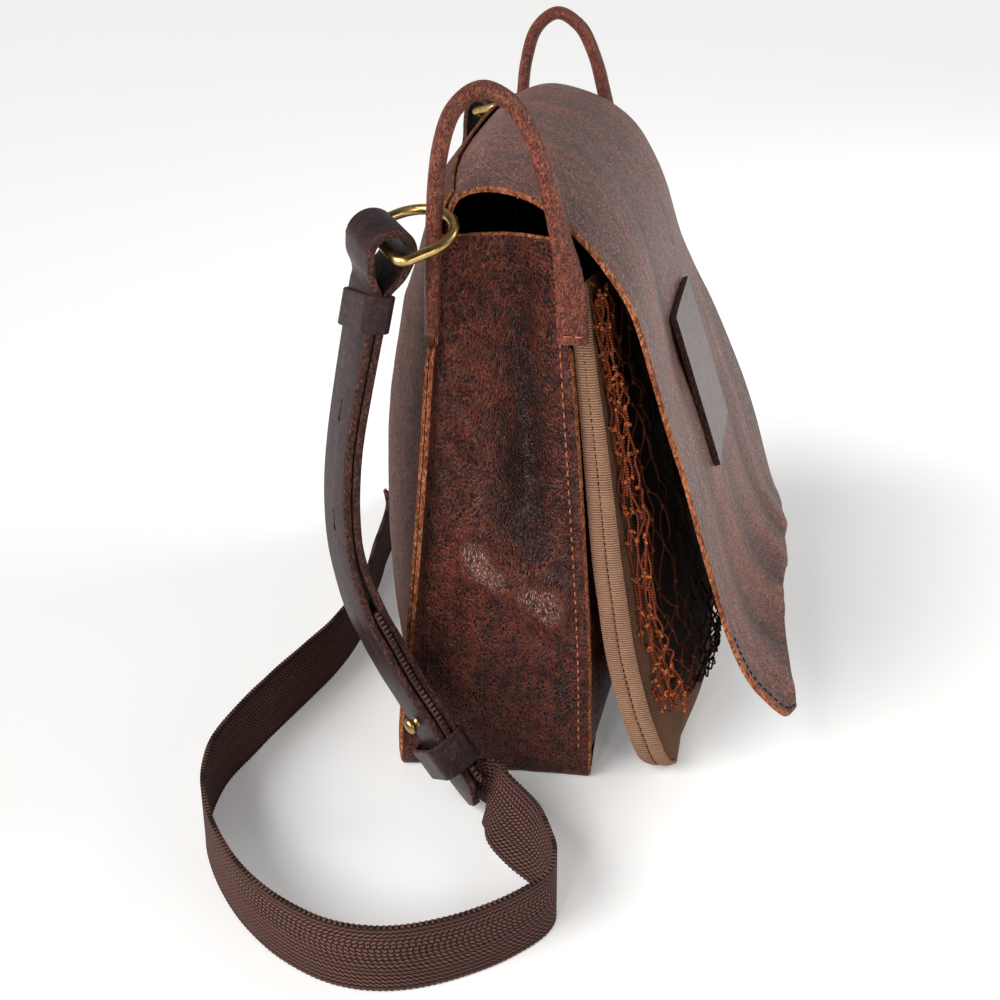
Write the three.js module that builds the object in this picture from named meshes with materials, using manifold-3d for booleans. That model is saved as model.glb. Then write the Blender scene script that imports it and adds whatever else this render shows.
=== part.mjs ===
// Leather hunting bag: a gusseted body with a wide flap, a canvas game pocket and a knotted net under it,
// two rolled carry loops, brass D-rings and a shoulder strap that stands on the floor in an open loop.
// Millimetres, +Z up. The origin is the middle of the base on the floor, +X runs along the bag's length,
// and the flap hangs on the -Y side.
import * as THREE from 'three';
import { mergeVertices } from 'three/addons/utils/BufferGeometryUtils.js';
import Module from 'manifold-3d';

// Driving sizes
const halfLength = 170; // from the middle to the end seams
const leather = 2; // body leather
const flapLeather = 2.2;
const patchLeather = 3;
const canvas = 1.4;
const bindingTape = 2.2;
const netCord = 1.6;
const strapLeather = 4.5;
const seamGap = 0.5; // clearance between two sewn layers
const cornerRadius = 6; // bottom corners of the body panels
const fullnessPower = 3.5; // how squarely a stuffed panel swells between its ends

const strapWidth = 32;
const webbingWidth = 38;
const webbingThickness = 2.5;
const webbingClear = 0.1; // the lowest its edge comes, so that it lies on the floor and not under it
const ringWire = 4.8;
const ringInside = { width: 36, depth: 32 };
const keeperBand = { tall: 20, thick: 2.4, slack: 0.8 };

const pocketHalf = 162;
const pocketCorner = 20;
const netHalf = 148;
const netCells = { across: 18, down: 12, cordShare: 0.24 };

// One end of the gusset, from the base corner up. half is half the gusset's width, dent how far its middle
// sinks in, lip the width of the back seam's raw edges, tilt their lean from straight out (0) to sideways
// (90), and edge the width of the front seam's raw edges.
const gussetLevels = [
  { z: 17, half: 48, dent: -1, lip: 12, tilt: 66, edge: 4.5 },
  { z: 40, half: 47.5, dent: -3, lip: 12, tilt: 50, edge: 4.5 },
  { z: 86, half: 46, dent: -4, lip: 10, tilt: 28, edge: 4.5 },
  { z: 146, half: 42, dent: -3, lip: 9, tilt: 16, edge: 4.5 },
  { z: 205, half: 37.5, dent: 6, lip: 8.5, tilt: 12, edge: 4.5 },
  { z: 257, half: 33.5, dent: 11, lip: 8, tilt: 12, edge: 3.5 },
  { z: 266, half: 33, dent: 12, lip: 1, tilt: 12, edge: 1 },
  { z: 296, half: 31.5, dent: 12, lip: 1, tilt: 12, edge: 1 },
  { z: 320, half: 30, dent: 9, lip: 1, tilt: 12, edge: 1 },
];
const baseRow = { half: 48, dent: 0, lip: 10, tilt: 90, edge: 4.5 };
const baseColumns = 10;

// How far each panel swells at mid-length, at the heights of the base, the corner and the levels above,
// with two narrower rows where the back panel runs over the shoulder.
const backSwell = [3, 6, 12, 20, 31, 38, 40, 35, 33, 24, 15];
const frontSwell = [2, 6, 11, 16, 19, 17, 13, 7, 6, 4, 3];
const shoulderRows = [
  { z: 333, y: 30.2, swell: 12, rise: 5, half: 160.5 },
  { z: 340, y: 25.6, swell: 9, rise: 8, half: 160 },
];

// The flap from the edge tucked under the back panel to its free edge. y and z follow its near side;
// swell and rise move its mid-length, flare its far side, and half is half its width.
const flapRows = [
  { y: 30.4, z: 300, swell: 22, rise: 0, flare: 0, wave: 0, half: 158 },
  { y: 29, z: 320, swell: 15, rise: 2, flare: 0, wave: 0, half: 159 },
  { y: 26.4, z: 332, swell: 12, rise: 5, flare: 0, wave: 0, half: 162 },
  { y: 20, z: 339.5, swell: 8, rise: 9, flare: 0, wave: 0, half: 167 },
  { y: 8, z: 343, swell: 4, rise: 12, flare: 0, wave: 0, half: 169 },
  { y: -8, z: 341, swell: 0, rise: 12, flare: 0, wave: 0, half: 169 },
  { y: -23, z: 334, swell: -4, rise: 11, flare: -5, wave: 0, half: 169 },
  { y: -36.5, z: 322, swell: -6.5, rise: 9, flare: -9, wave: 0.5, half: 169 },
  { y: -50, z: 307, swell: -6, rise: 7, flare: -7.5, wave: 1, half: 169 },
  { y: -65.5, z: 283, swell: -4.5, rise: 5, flare: -4.5, wave: 1.5, half: 169 },
  { y: -77, z: 249, swell: -4, rise: 2, flare: -5, wave: 2, half: 169 },
  { y: -86, z: 221, swell: -2.5, rise: 0, flare: -9, wave: 2, half: 169 },
  { y: -98.5, z: 193, swell: -1.5, rise: 0, flare: -13, wave: 1, half: 170 },
  { y: -107.5, z: 160, swell: -0.5, rise: 0, flare: -17.5, wave: 0, half: 170 },
  { y: -117, z: 130, swell: 0, rise: 0, flare: -21, wave: 0, half: 170 },
  { y: -126.5, z: 100, swell: -1, rise: 0, flare: -22.5, wave: 0.5, half: 170 },
  { y: -137, z: 76, swell: -2, rise: 1, flare: -20, wave: 2, half: 170 },
  { y: -148, z: 61.5, swell: -3.5, rise: 2.5, flare: -14, wave: 3, half: 169 },
  { y: -159.5, z: 51, swell: -4, rise: 5, flare: -6, wave: 3, half: 166 },
  { y: -166.5, z: 48, swell: 0, rise: 6, flare: -2, wave: 2.5, half: 153 },
];
const flapWave = { length: 280, start: 10 };
const flapColumns = 16;
const patch = { half: 46.5, topRow: 10.26, bottomRow: 13.32, columns: 5, rows: 5 };

// The canvas pocket. back is the back sheet's place at its ends, strip the depth of the bound edge,
// swell how far the back sheet stands out at mid-length and belly the pocket's depth there.
const pocketRows = [
  { z: 3.5, back: -88, strip: 13, swell: 0, belly: 16 },
  { z: 13, back: -82, strip: 14, swell: 1, belly: 30 },
  { z: 30, back: -75, strip: 14, swell: 4, belly: 41 },
  { z: 49, back: -68.5, strip: 14, swell: 7, belly: 43 },
  { z: 82, back: -60.5, strip: 13.5, swell: 12, belly: 35 },
  { z: 113, back: -55.5, strip: 13, swell: 14, belly: 27 },
  { z: 144, back: -51, strip: 12.5, swell: 14, belly: 21 },
  { z: 203, back: -45, strip: 10, swell: 12, belly: 15 },
  { z: 259, back: -39, strip: 7, swell: 8, belly: 13 },
  { z: 296, back: -36, strip: 5, swell: 6, belly: 11 },
];
const pocketColumns = 12;

// The net. edge is its place at the gathered ends and front its place at mid-length.
const netRows = [
  { z: 290, edge: -52, front: -59 },
  { z: 255, edge: -57, front: -70 },
  { z: 227, edge: -61, front: -81 },
  { z: 193, edge: -66, front: -94 },
  { z: 157, edge: -72, front: -104 },
  { z: 107, edge: -81, front: -117 },
  { z: 78, edge: -88, front: -124 },
  { z: 56, edge: -94, front: -127 },
  { z: 42, edge: -98, front: -125 },
];

// A carry loop from its back foot over the top to its front foot. out is its distance from the gusset,
// wide its size across the gusset and deep its size along the bag.
const loopRows = [
  { y: 34, z: 271, out: 9, wide: 8, deep: 13 },
  { y: 33.6, z: 298, out: 8.5, wide: 8.2, deep: 12 },
  { y: 33, z: 320, out: 7.5, wide: 8.6, deep: 10 },
  { y: 32, z: 338, out: 7, wide: 8.6, deep: 9 },
  { y: 29.4, z: 361, out: 7, wide: 8.6, deep: 9 },
  { y: 22.5, z: 382, out: 7, wide: 8.8, deep: 9 },
  { y: 8, z: 392.5, out: 7, wide: 9, deep: 9 },
  { y: -8.2, z: 383.5, out: 7, wide: 9.2, deep: 9 },
  { y: -18.8, z: 363.5, out: 7, wide: 9.4, deep: 9 },
  { y: -25.2, z: 342, out: 7, wide: 9.8, deep: 9 },
  { y: -30.4, z: 321, out: 6.6, wide: 11, deep: 8.2 },
  { y: -34, z: 305, out: 5.2, wide: 14.5, deep: 6 },
  { y: -36.2, z: 286, out: 4.3, wide: 16.5, deep: 4.8 },
  { y: -37, z: 267, out: 4.3, wide: 16.5, deep: 4.8 },
];
const loopSides = 8;
const loopSteps = 24;

// Near D-ring: the middle of its straight bar and the directions along the bar and across to the bow.
const ringBar = new THREE.Vector3(-191.4, 55.8, 319.3);
const ringAlong = new THREE.Vector3(0.79, 0.57, 0.23);
const ringAcross = new THREE.Vector3(0.51, -0.815, 0.27);

// Near strap leather between its two layers, from the fold at the ring down to the tip. turn aims its width,
// apart is the distance between the middles of the layers, and part how much of the full width is left.
const strapRows = [
  { x: -189.2, y: 57.1, z: 319, turn: 36, apart: 22.6, part: 0.95 },
  { x: -189, y: 59.9, z: 309, turn: 36, apart: 17, part: 0.97 },
  { x: -188.5, y: 62.5, z: 300.5, turn: 36, apart: 5.6, part: 1 },
  { x: -188.3, y: 63.9, z: 295, turn: 36, apart: 5.2, part: 1 },
  { x: -187.7, y: 67.2, z: 280.3, turn: 35, apart: 5.1, part: 1 },
  { x: -186.9, y: 75.1, z: 242.7, turn: 33, apart: 5.1, part: 1 },
  { x: -186.9, y: 80.3, z: 214.5, turn: 32, apart: 5.1, part: 1 },
  { x: -187.4, y: 82.9, z: 191.6, turn: 33, apart: 5.1, part: 1 },
  { x: -188.1, y: 83.6, z: 173.9, turn: 34, apart: 5.1, part: 1 },
  { x: -189.2, y: 82.8, z: 155.6, turn: 35, apart: 5.2, part: 1 },
  { x: -190.8, y: 79.4, z: 138.2, turn: 37, apart: 6.2, part: 1 },
  { x: -192.7, y: 71.7, z: 115.1, turn: 40, apart: 8.4, part: 1 },
  { x: -194.5, y: 62.6, z: 97.6, turn: 42, apart: 9.2, part: 1 },
  { x: -196.4, y: 53.4, z: 80.7, turn: 42, apart: 9.4, part: 1 },
  { x: -198.5, y: 46, z: 69.2, turn: 42, apart: 9.2, part: 1 },
  { x: -200.5, y: 38.3, z: 57.2, turn: 43, apart: 9, part: 1 },
  { x: -202.7, y: 30.1, z: 44.1, turn: 44, apart: 8.8, part: 1 },
  { x: -205.4, y: 18.5, z: 28.3, turn: 44, apart: 8.8, part: 1 },
];
const strapTip = [
  { x: -207.7, y: 10.7, z: 16.4, turn: 40, apart: 9.2, part: 0.92 },
  { x: -210, y: 5.4, z: 9.4, turn: 38, apart: 10, part: 0.4 },
];
const strapSteps = 38;
const slitHeights = [231, 168.5, 110.5];
const slit = { long: 13, wide: 1.8, deep: 8 };
const stud = { z: 56, head: 4.2, neck: 1.8, tall: 7 };
const keepers = {
  upper: { z: 283, inside: 32, slant: 0.22, loose: 0 },
  lower: { z: 37, inside: 38, slant: 0.06, loose: 5 }, // stands off the strap's outer face
};

// Far strap leather: a plain folded end round the far ring.
const farStrapRows = [
  { x: 190.2, y: 57.1, z: 319, turn: 144, apart: 22.6, part: 0.95 },
  { x: 190, y: 59.9, z: 309, turn: 144, apart: 17, part: 0.97 },
  { x: 189.6, y: 63, z: 299, turn: 144, apart: 9, part: 1 },
  { x: 189.4, y: 66.6, z: 288, turn: 144, apart: 8, part: 1 },
  { x: 190, y: 72, z: 262, turn: 144, apart: 8, part: 1 },
  { x: 193, y: 79, z: 230, turn: 142, apart: 8, part: 1 },
  { x: 198, y: 85, z: 200, turn: 138, apart: 8, part: 1 },
];

// The webbing's middle line from inside the near strap leather, round the loop on the floor, along the back
// and up to the far strap leather. leanX and leanY are the shares of its width by which its upper edge leans
// along X and Y; it stands on edge where both are 0.
const webbingRoute = [
  { x: -207.4, y: 9.4, z: 17.6, leanX: -0.7, leanY: -0.42 },
  { x: -213, y: 0.5, z: 17.6, leanX: -0.3, leanY: -0.42 },
  { x: -223, y: -4.5, z: 18.5, leanX: 0.08, leanY: -0.3 },
  { x: -236, y: -12, z: 17.8, leanX: 0.28, leanY: -0.42 },
  { x: -250, y: -22.5, z: 17.8, leanX: 0.26, leanY: -0.42 },
  { x: -268, y: -34.5, z: 19, leanX: 0.06, leanY: -0.2 },
  { x: -288, y: -43.5, z: 19.3, leanX: 0, leanY: 0 },
  { x: -307, y: -40, z: 19.3, leanX: 0, leanY: 0 },
  { x: -328.5, y: -21, z: 19.3, leanX: 0, leanY: 0 },
  { x: -345.5, y: 4, z: 19.3, leanX: 0, leanY: 0 },
  { x: -355, y: 32, z: 19.3, leanX: 0, leanY: 0 },
  { x: -352.5, y: 61, z: 19.3, leanX: 0, leanY: 0 },
  { x: -337, y: 90, z: 19.3, leanX: 0, leanY: 0 },
  { x: -312, y: 117, z: 19.3, leanX: 0, leanY: 0 },
  { x: -280, y: 139, z: 19.3, leanX: 0, leanY: 0 },
  { x: -245, y: 154, z: 19.3, leanX: 0, leanY: 0 },
  { x: -208, y: 158, z: 19.3, leanX: 0, leanY: 0.03 },
  { x: -165, y: 150, z: 19.3, leanX: 0, leanY: 0.1 },
  { x: -120, y: 138, z: 19.3, leanX: 0, leanY: 0.1 },
  { x: -70, y: 124, z: 19.3, leanX: 0, leanY: 0.05 },
  { x: -15, y: 118, z: 19.3, leanX: 0, leanY: 0 },
  { x: 50, y: 122, z: 19.3, leanX: 0, leanY: 0 },
  { x: 112, y: 126, z: 19.3, leanX: 0, leanY: 0.04 },
  { x: 150, y: 127, z: 17.2, leanX: 0, leanY: 0.56 },
  { x: 182, y: 125, z: 9.6, leanX: 0, leanY: 0.93 },
  { x: 207, y: 120, z: 10, leanX: -0.09, leanY: 0.99 },
  { x: 222, y: 114, z: 28, leanX: -0.21, leanY: 0.98 },
  { x: 223, y: 107, z: 62, leanX: -0.34, leanY: 0.94 },
  { x: 215, y: 100, z: 112, leanX: -0.5, leanY: 0.87 },
  { x: 206, y: 92, z: 160, leanX: -0.64, leanY: 0.77 },
];
const webbingSteps = 74;
const webbingReach = { near: 120, far: 262 }; // how high each end runs up inside its strap leather

const wasm = await Module();
wasm.setup();

const colours = {
  bodyLeather: 0x4f2a20,
  flapLeather: 0x6a4a40,
  loopLeather: 0x7a4031,
  strapLeather: 0x463638,
  patchLeather: 0x3e2b29,
  canvas: 0x6f5543,
  binding: 0x7d5d46,
  net: 0x84371f,
  webbing: 0x4d3a31,
  brass: 0xc9a24a,
};

const backward = new THREE.Vector3(0, 1, 0);
const point = (x, y, z) => new THREE.Vector3(x, y, z);
const radians = THREE.MathUtils.degToRad;
const fullness = (share) => 1 - Math.abs(share) ** fullnessPower;
const steps = (count) => Array.from({ length: count + 1 }, (_, i) => i / count);

// One column of a table at a place between its rows, on a Catmull-Rom curve.
function value(table, column, place) {
  const last = table.length - 1;
  const row = Math.min(Math.floor(place), last - 1);
  const f = place - row;
  const at = (i) => table[THREE.MathUtils.clamp(i, 0, last)][column];
  const [a, b, c, d] = [at(row - 1), at(row), at(row + 1), at(row + 2)];
  const bend = (2 * a - 5 * b + 4 * c - d) * f * f + (3 * b - a - 3 * c + d) * f ** 3;
  return b + 0.5 * ((c - a) * f + bend);
}

// The place between a table's rows where a column has a value; the column only rises or only falls.
function placeOf(table, column, wanted) {
  for (let i = 0; i < table.length - 1; i += 1) {
    const f = (wanted - table[i][column]) / (table[i + 1][column] - table[i][column]);
    if (f >= 0 && f <= 1) return i + f;
  }
  throw new Error(`${column} never reaches ${wanted}`);
}

// A closed mesh from vertices and the quads or triangles between them, turned to face outwards.
function solid(vertices, faces) {
  const halves = ([a, b, c, d]) => (d === undefined ? [[a, b, c]] : [[a, b, c], [a, c, d]]);
  const triangles = faces.flatMap(halves);
  const volume = triangles.reduce((sum, [a, b, c]) => {
    const normal = vertices[b].clone().cross(vertices[c]);
    return sum + vertices[a].dot(normal);
  }, 0);
  const facing = volume < 0 ? triangles.map(([a, b, c]) => [a, c, b]) : triangles;
  const geometry = new THREE.BufferGeometry();
  const numbers = vertices.flatMap((v) => v.toArray());
  geometry.setAttribute('position', new THREE.Float32BufferAttribute(numbers, 3));
  geometry.setIndex(facing.flat());
  return geometry;
}

// The normals of a grid of points, from its neighbours.
function gridNormals(grid) {
  const last = grid.length - 1;
  return grid.map((row, i) =>
    row.map((_, j) => {
      const along = grid[Math.min(i + 1, last)][j].clone().sub(grid[Math.max(i - 1, 0)][j]);
      const across = row[Math.min(j + 1, row.length - 1)].clone().sub(row[Math.max(j - 1, 0)]);
      return along.cross(across).normalize();
    }),
  );
}

// A wall of even thickness round a grid of points on its middle surface.
function wall(grid, thickness) {
  const normals = gridNormals(grid);
  const columns = grid[0].length;
  const count = grid.length * columns;
  const side = (sign) =>
    grid.flatMap((row, i) => {
      const shift = (sign * thickness) / 2;
      return row.map((p, j) => p.clone().addScaledVector(normals[i][j], shift));
    });
  const at = (i, j) => i * columns + j;
  const faces = [];
  const quad = (a, b, c, d) => faces.push([a, b, c, d]);
  for (let i = 0; i < grid.length - 1; i += 1) {
    for (let j = 0; j < columns - 1; j += 1) {
      const [a, b, c, d] = [at(i, j), at(i, j + 1), at(i + 1, j + 1), at(i + 1, j)];
      const slant = grid[i][j].distanceTo(grid[i + 1][j + 1]);
      const counterSlant = grid[i][j + 1].distanceTo(grid[i + 1][j]);
      const halves = slant <= counterSlant ? [[a, b, c], [a, c, d]] : [[a, b, d], [b, c, d]];
      halves.forEach(([p, q, r]) => faces.push([p, q, r], [r + count, q + count, p + count]));
    }
  }
  const rim = [];
  for (let j = 0; j < columns - 1; j += 1) rim.push(at(0, j));
  for (let i = 0; i < grid.length - 1; i += 1) rim.push(at(i, columns - 1));
  for (let j = columns - 1; j > 0; j -= 1) rim.push(at(grid.length - 1, j));
  for (let i = grid.length - 1; i > 0; i -= 1) rim.push(at(i, 0));
  rim.forEach((a, k) => {
    const b = rim[(k + 1) % rim.length];
    quad(b, a, a + count, b + count);
  });
  return solid([...side(-1), ...side(1)], faces);
}

// A body lofted through rings of points: closed on itself, or with a flat cap at each end.
function loft(rings, isClosed = false) {
  const sides = rings[0].length;
  const faces = [];
  const spans = isClosed ? rings.length : rings.length - 1;
  for (let i = 0; i < spans; i += 1) {
    const next = ((i + 1) % rings.length) * sides;
    for (let j = 0; j < sides; j += 1) {
      const k = (j + 1) % sides;
      faces.push([i * sides + j, i * sides + k, next + k, next + j]);
    }
  }
  if (!isClosed) {
    const end = (rings.length - 1) * sides;
    for (let j = 1; j < sides - 1; j += 1) {
      faces.push([0, j + 1, j]);
      faces.push([end, end + j, end + j + 1]);
    }
  }
  return solid(rings.flat(), faces);
}

const meshes = [];
function piece(name, geometry, colour, roughness = 0.65, metalness = 0) {
  const material = new THREE.MeshStandardMaterial({ color: colour, roughness, metalness });
  const mesh = new THREE.Mesh(geometry, material);
  mesh.name = name;
  meshes.push(mesh);
  return mesh;
}

// Body: the gusset runs up both ends and under the base, and the panels are sewn to its two edges.
const baseZ = leather / 2;
const cornerShift = cornerRadius * (1 - Math.SQRT1_2);
const baseHalf = halfLength - cornerRadius;
const cornerRow = { ...gussetLevels[0], z: baseZ + cornerShift, dent: 0, tilt: 84 };
const bodyRows = [
  { ...baseRow, z: baseZ, length: baseHalf, lean: 90 },
  { ...cornerRow, length: halfLength - cornerShift, lean: 45 },
  ...gussetLevels.map((level) => ({ ...level, length: halfLength, lean: 0 })),
];

// A place on the gusset's path: its outward direction is along X on the ends and down on the base.
function station(row, end, x) {
  const lean = radians(row.lean);
  return { ...row, x: x ?? end * row.length, out: point(end * Math.cos(lean), 0, -Math.sin(lean)) };
}

// The root of a seam on the gusset, the direction of its raw edges and the direction from gusset to panel.
function seam(place, side) {
  const root = point(place.x, side * place.half, place.z);
  if (side < 0) {
    return { root, edge: point(0, -1, 0), stack: place.out.clone().negate(), width: place.edge };
  }
  const tilt = radians(place.tilt);
  const turned = (out, back) => place.out.clone().multiplyScalar(out).addScaledVector(backward, back);
  const edge = turned(Math.cos(tilt), Math.sin(tilt));
  const stack = turned(-Math.sin(tilt), Math.cos(tilt));
  return { root, edge, stack, width: place.lip };
}

const layerStep = leather + seamGap;
const seamPoint = (s, layer, out) =>
  s.root.clone().addScaledVector(s.stack, layer * layerStep).addScaledVector(s.edge, out * s.width);

function gussetGrid() {
  const widthShares = [-1, -0.66, -0.33, 0, 0.33, 0.66, 1];
  const near = bodyRows.slice(1).reverse().map((row) => station(row, -1));
  const base = steps(baseColumns).map((f) => station(bodyRows[0], 1, (2 * f - 1) * baseHalf));
  const far = bodyRows.slice(1).map((row) => station(row, 1));
  return [...near, ...base, ...far].map((place) => {
    const front = seam(place, -1);
    const back = seam(place, 1);
    const middle = widthShares.map((share) => {
      const sink = place.dent * Math.cos((share * Math.PI) / 2) ** 1.5;
      return point(place.x, share * place.half, place.z).addScaledVector(place.out, -sink);
    });
    return [seamPoint(front, 0, 1), ...middle, seamPoint(back, 0, 1)];
  });
}

// A panel sewn to one edge of the gusset, with its raw edges, and any rows that run on above the gusset.
function panelGrid(side, swell, moreRows = []) {
  const shares = steps(baseColumns).map((f) => 2 * f - 1);
  const rows = bodyRows.map((row, i) => {
    const ends = [-1, 1].map((end) => seam(station(row, end), side));
    const line = shares.map((share) => {
      const root = ends[share < 0 ? 0 : 1];
      const edge = i === 0 ? seam(station(row, 1, share * row.length), side) : root;
      const p = seamPoint(edge, 1, 0);
      if (Math.abs(share) < 1) p.x = share * row.length;
      p.y += side * swell[i] * fullness(share);
      return p;
    });
    return [seamPoint(ends[0], 1, 1), ...line, seamPoint(ends[1], 1, 1)];
  });
  const tops = moreRows.map((row) => {
    const line = shares.map((share) => {
      const full = fullness(share);
      return point(share * row.half, row.y + row.swell * full, row.z + row.rise * full);
    });
    const brim = (p, end) => p.clone().add(point(end, 0, 0));
    return [brim(line[0], -1), ...line, brim(line[line.length - 1], 1)];
  });
  // The raw edge along the base. Its ends share a line with the corners of the gusset's edge.
  const hem = shares.map((share) => {
    const onBase = station(bodyRows[0], 1, share * baseHalf);
    return seamPoint(seam(onBase, side), 1, 1);
  });
  const hemEnds = [hem[0].clone(), hem[hem.length - 1].clone()];
  hem[0].lerp(hem[1], 0.2);
  hem[hem.length - 1].lerp(hem[hem.length - 2], 0.2);
  const first = rows[0];
  first[0] = hemEnds[0].clone().lerp(rows[1][0], 0.5);
  first[first.length - 1] = hemEnds[1].clone().lerp(rows[1][first.length - 1], 0.5);
  return [[hemEnds[0], ...hem, hemEnds[1]], ...rows, ...tops];
}

piece('gusset', wall(gussetGrid(), leather), colours.bodyLeather, 0.55);
piece('back_panel', wall(panelGrid(1, backSwell, shoulderRows), leather), colours.bodyLeather, 0.55);
piece('front_panel', wall(panelGrid(-1, frontSwell), leather), colours.bodyLeather, 0.55);

// Flap: one sheet from under the back panel, over the top and down the front, waving towards its free edge.
function flapPoint(place, share) {
  const get = (column) => value(flapRows, column, place);
  const full = fullness(share);
  const x = share * get('half');
  const wave = get('wave') * Math.sin((2 * Math.PI * (x - flapWave.start)) / flapWave.length);
  const y = get('y') + get('swell') * full + get('flare') * ((share + 1) / 2) ** 2 - wave;
  return point(x, y, get('z') + get('rise') * full);
}
const flapShares = steps(flapColumns).map((f) => 2 * f - 1);
const flapGrid = flapRows.map((_, place) => flapShares.map((share) => flapPoint(place, share)));
piece('flap', wall(flapGrid, flapLeather), colours.flapLeather, 0.5);

// The patch lies on the flap, so its grid is the flap's own surface moved out by half of both thicknesses.
function patchGrid() {
  const places = steps(patch.rows).map((f) => THREE.MathUtils.lerp(patch.topRow, patch.bottomRow, f));
  const shares = steps(patch.columns).map((f) => ((2 * f - 1) * patch.half) / halfLength);
  const onFlap = places.map((place) => shares.map((share) => flapPoint(place, share)));
  const normals = gridNormals(onFlap);
  const lift = (flapLeather + patchLeather) / 2 + 2 * seamGap;
  return onFlap.map((row, i) =>
    row.map((p, j) => p.addScaledVector(normals[i][j], normals[i][j].y < 0 ? lift : -lift)),
  );
}
piece('flap_patch', wall(patchGrid(), patchLeather), colours.patchLeather, 0.4);

// Canvas pocket: a back sheet, a bellied front sheet and the bound strip between their edges.
const pocketBase = pocketRows[0].z;
function pocketReach(z) {
  const below = Math.max(pocketBase + pocketCorner - z, 0);
  return pocketHalf - pocketCorner + Math.sqrt(pocketCorner ** 2 - below ** 2);
}
function pocketGrid(depth) {
  const shares = steps(pocketColumns).map((f) => 2 * f - 1);
  return pocketRows.map((row) =>
    shares.map((share) => {
      const full = fullness(share);
      return point(share * pocketReach(row.z), row.back - row.swell * full - depth(row, full), row.z);
    }),
  );
}
const pocketDepth = (row, full) => row.strip + (row.belly - row.strip) * full;
piece('pocket_back', wall(pocketGrid(() => 0), canvas), colours.canvas, 0.9);
piece('pocket_front', wall(pocketGrid(pocketDepth), canvas), colours.canvas, 0.9);

function bindingGrid() {
  const offset = (canvas + bindingTape) / 2 + seamGap;
  const overhang = 1.2;
  const edge = (row, share, out) => {
    const full = fullness(share);
    const back = row.back - row.swell * full;
    const front = back - pocketDepth(row, full);
    const at = point(share * pocketReach(row.z), 0, row.z).addScaledVector(out, offset);
    return [back + overhang, (back + front) / 2, front - overhang].map((y) => point(at.x, y, at.z));
  };
  const side = (end) =>
    pocketRows.slice(1).map((row) => {
      const below = (pocketBase + pocketCorner - row.z) / pocketCorner;
      const lean = Math.acos(THREE.MathUtils.clamp(below, 0, 1));
      return edge(row, end, point(end * Math.sin(lean), 0, -Math.cos(lean)));
    });
  const base = steps(pocketColumns).map((f) => edge(pocketRows[0], 2 * f - 1, point(0, 0, -1)));
  return [...side(-1).reverse(), ...base, ...side(1)];
}
piece('pocket_binding', wall(bindingGrid(), bindingTape), colours.binding, 0.9);

// Game net: diamonds of knotted cord. Every cell of the lattice is a hole inset from its corner knots.
function netPoint(i, j) {
  const share = (2 * i) / netCells.across - 1;
  const place = (j / netCells.down) * (netRows.length - 1);
  const edge = value(netRows, 'edge', place);
  const front = value(netRows, 'front', place);
  return point(share * netHalf, edge + (front - edge) * fullness(share), value(netRows, 'z', place));
}
function netSolid() {
  const half = netCord / 2;
  const outward = (p, q, r) => {
    const n = q.clone().sub(p).cross(r.clone().sub(p)).normalize();
    return n.y > 0 ? n.negate() : n;
  };
  const vertices = [];
  const faces = [];
  const add = (p, n) => {
    vertices.push(p.clone().addScaledVector(n, half), p.clone().addScaledVector(n, -half));
    return vertices.length - 2;
  };
  const knots = new Map();
  const knot = ([i, j]) => {
    const key = `${i},${j}`;
    const here = netPoint(i, j);
    if (!knots.has(key)) {
      knots.set(key, add(here, outward(here, netPoint(i + 0.5, j), netPoint(i, j + 0.5))));
    }
    return knots.get(key);
  };
  const inside = ([i, j]) => i >= 0 && j >= 0 && i <= netCells.across && j <= netCells.down;
  const strip = (a, b, c, d) => {
    faces.push([a, b, c, d]);
    faces.push([d + 1, c + 1, b + 1, a + 1]);
  };
  for (let i = 0; i <= netCells.across; i += 1) {
    for (let j = 0; j <= netCells.down; j += 1) {
      if ((i + j) % 2 === 0) continue;
      const around = [[i - 1, j], [i, j - 1], [i + 1, j], [i, j + 1]];
      const corners = around.filter(inside);
      const mean = (axis) => corners.reduce((sum, corner) => sum + corner[axis], 0) / corners.length;
      const centre = [mean(0), mean(1)];
      const outer = corners.map(knot);
      const inner = corners.map(([a, b]) => {
        const s = 1 - netCells.cordShare;
        const at = [centre[0] + (a - centre[0]) * s, centre[1] + (b - centre[1]) * s];
        const here = netPoint(...at);
        return add(here, outward(here, netPoint(at[0] + 0.5, at[1]), netPoint(at[0], at[1] + 0.5)));
      });
      corners.forEach((corner, k) => {
        const n = (k + 1) % corners.length;
        strip(outer[k], outer[n], inner[n], inner[k]);
        faces.push([inner[k], inner[n], inner[n] + 1, inner[k] + 1]);
        const onRim = (axis, limit) => corner[axis] === limit && corners[n][axis] === limit;
        const isEnd = onRim(0, 0) || onRim(0, netCells.across);
        const isRim = isEnd || onRim(1, 0) || onRim(1, netCells.down);
        if (isRim) faces.push([outer[n], outer[k], outer[k] + 1, outer[n] + 1]);
      });
    }
  }
  return solid(vertices, faces);
}
piece('game_net', netSolid(), colours.net, 0.95);

// Carry loops: rolled leather with flat feet on the end seams.
function loopSolid(end) {
  const last = loopRows.length - 1;
  const rings = steps(loopSteps).map((f) => {
    const place = f * last;
    const get = (column, at = place) => value(loopRows, column, at);
    const before = Math.max(place - 0.05, 0);
    const after = Math.min(place + 0.05, last);
    const step = (column) => get(column, after) - get(column, before);
    const along = point(0, step('y'), step('z')).normalize();
    const across = along.clone().cross(point(1, 0, 0));
    const centre = point(end * (halfLength + get('out')), get('y'), get('z'));
    return Array.from({ length: loopSides }, (_, k) => {
      const angle = (2 * Math.PI * (k + 0.5)) / loopSides;
      return centre
        .clone()
        .addScaledVector(across, (get('wide') / 2) * Math.cos(angle))
        .add(point((get('deep') / 2) * Math.sin(angle), 0, 0));
    });
  });
  return loft(rings);
}
piece('carry_loop_near', loopSolid(-1), colours.loopLeather, 0.6);
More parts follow.
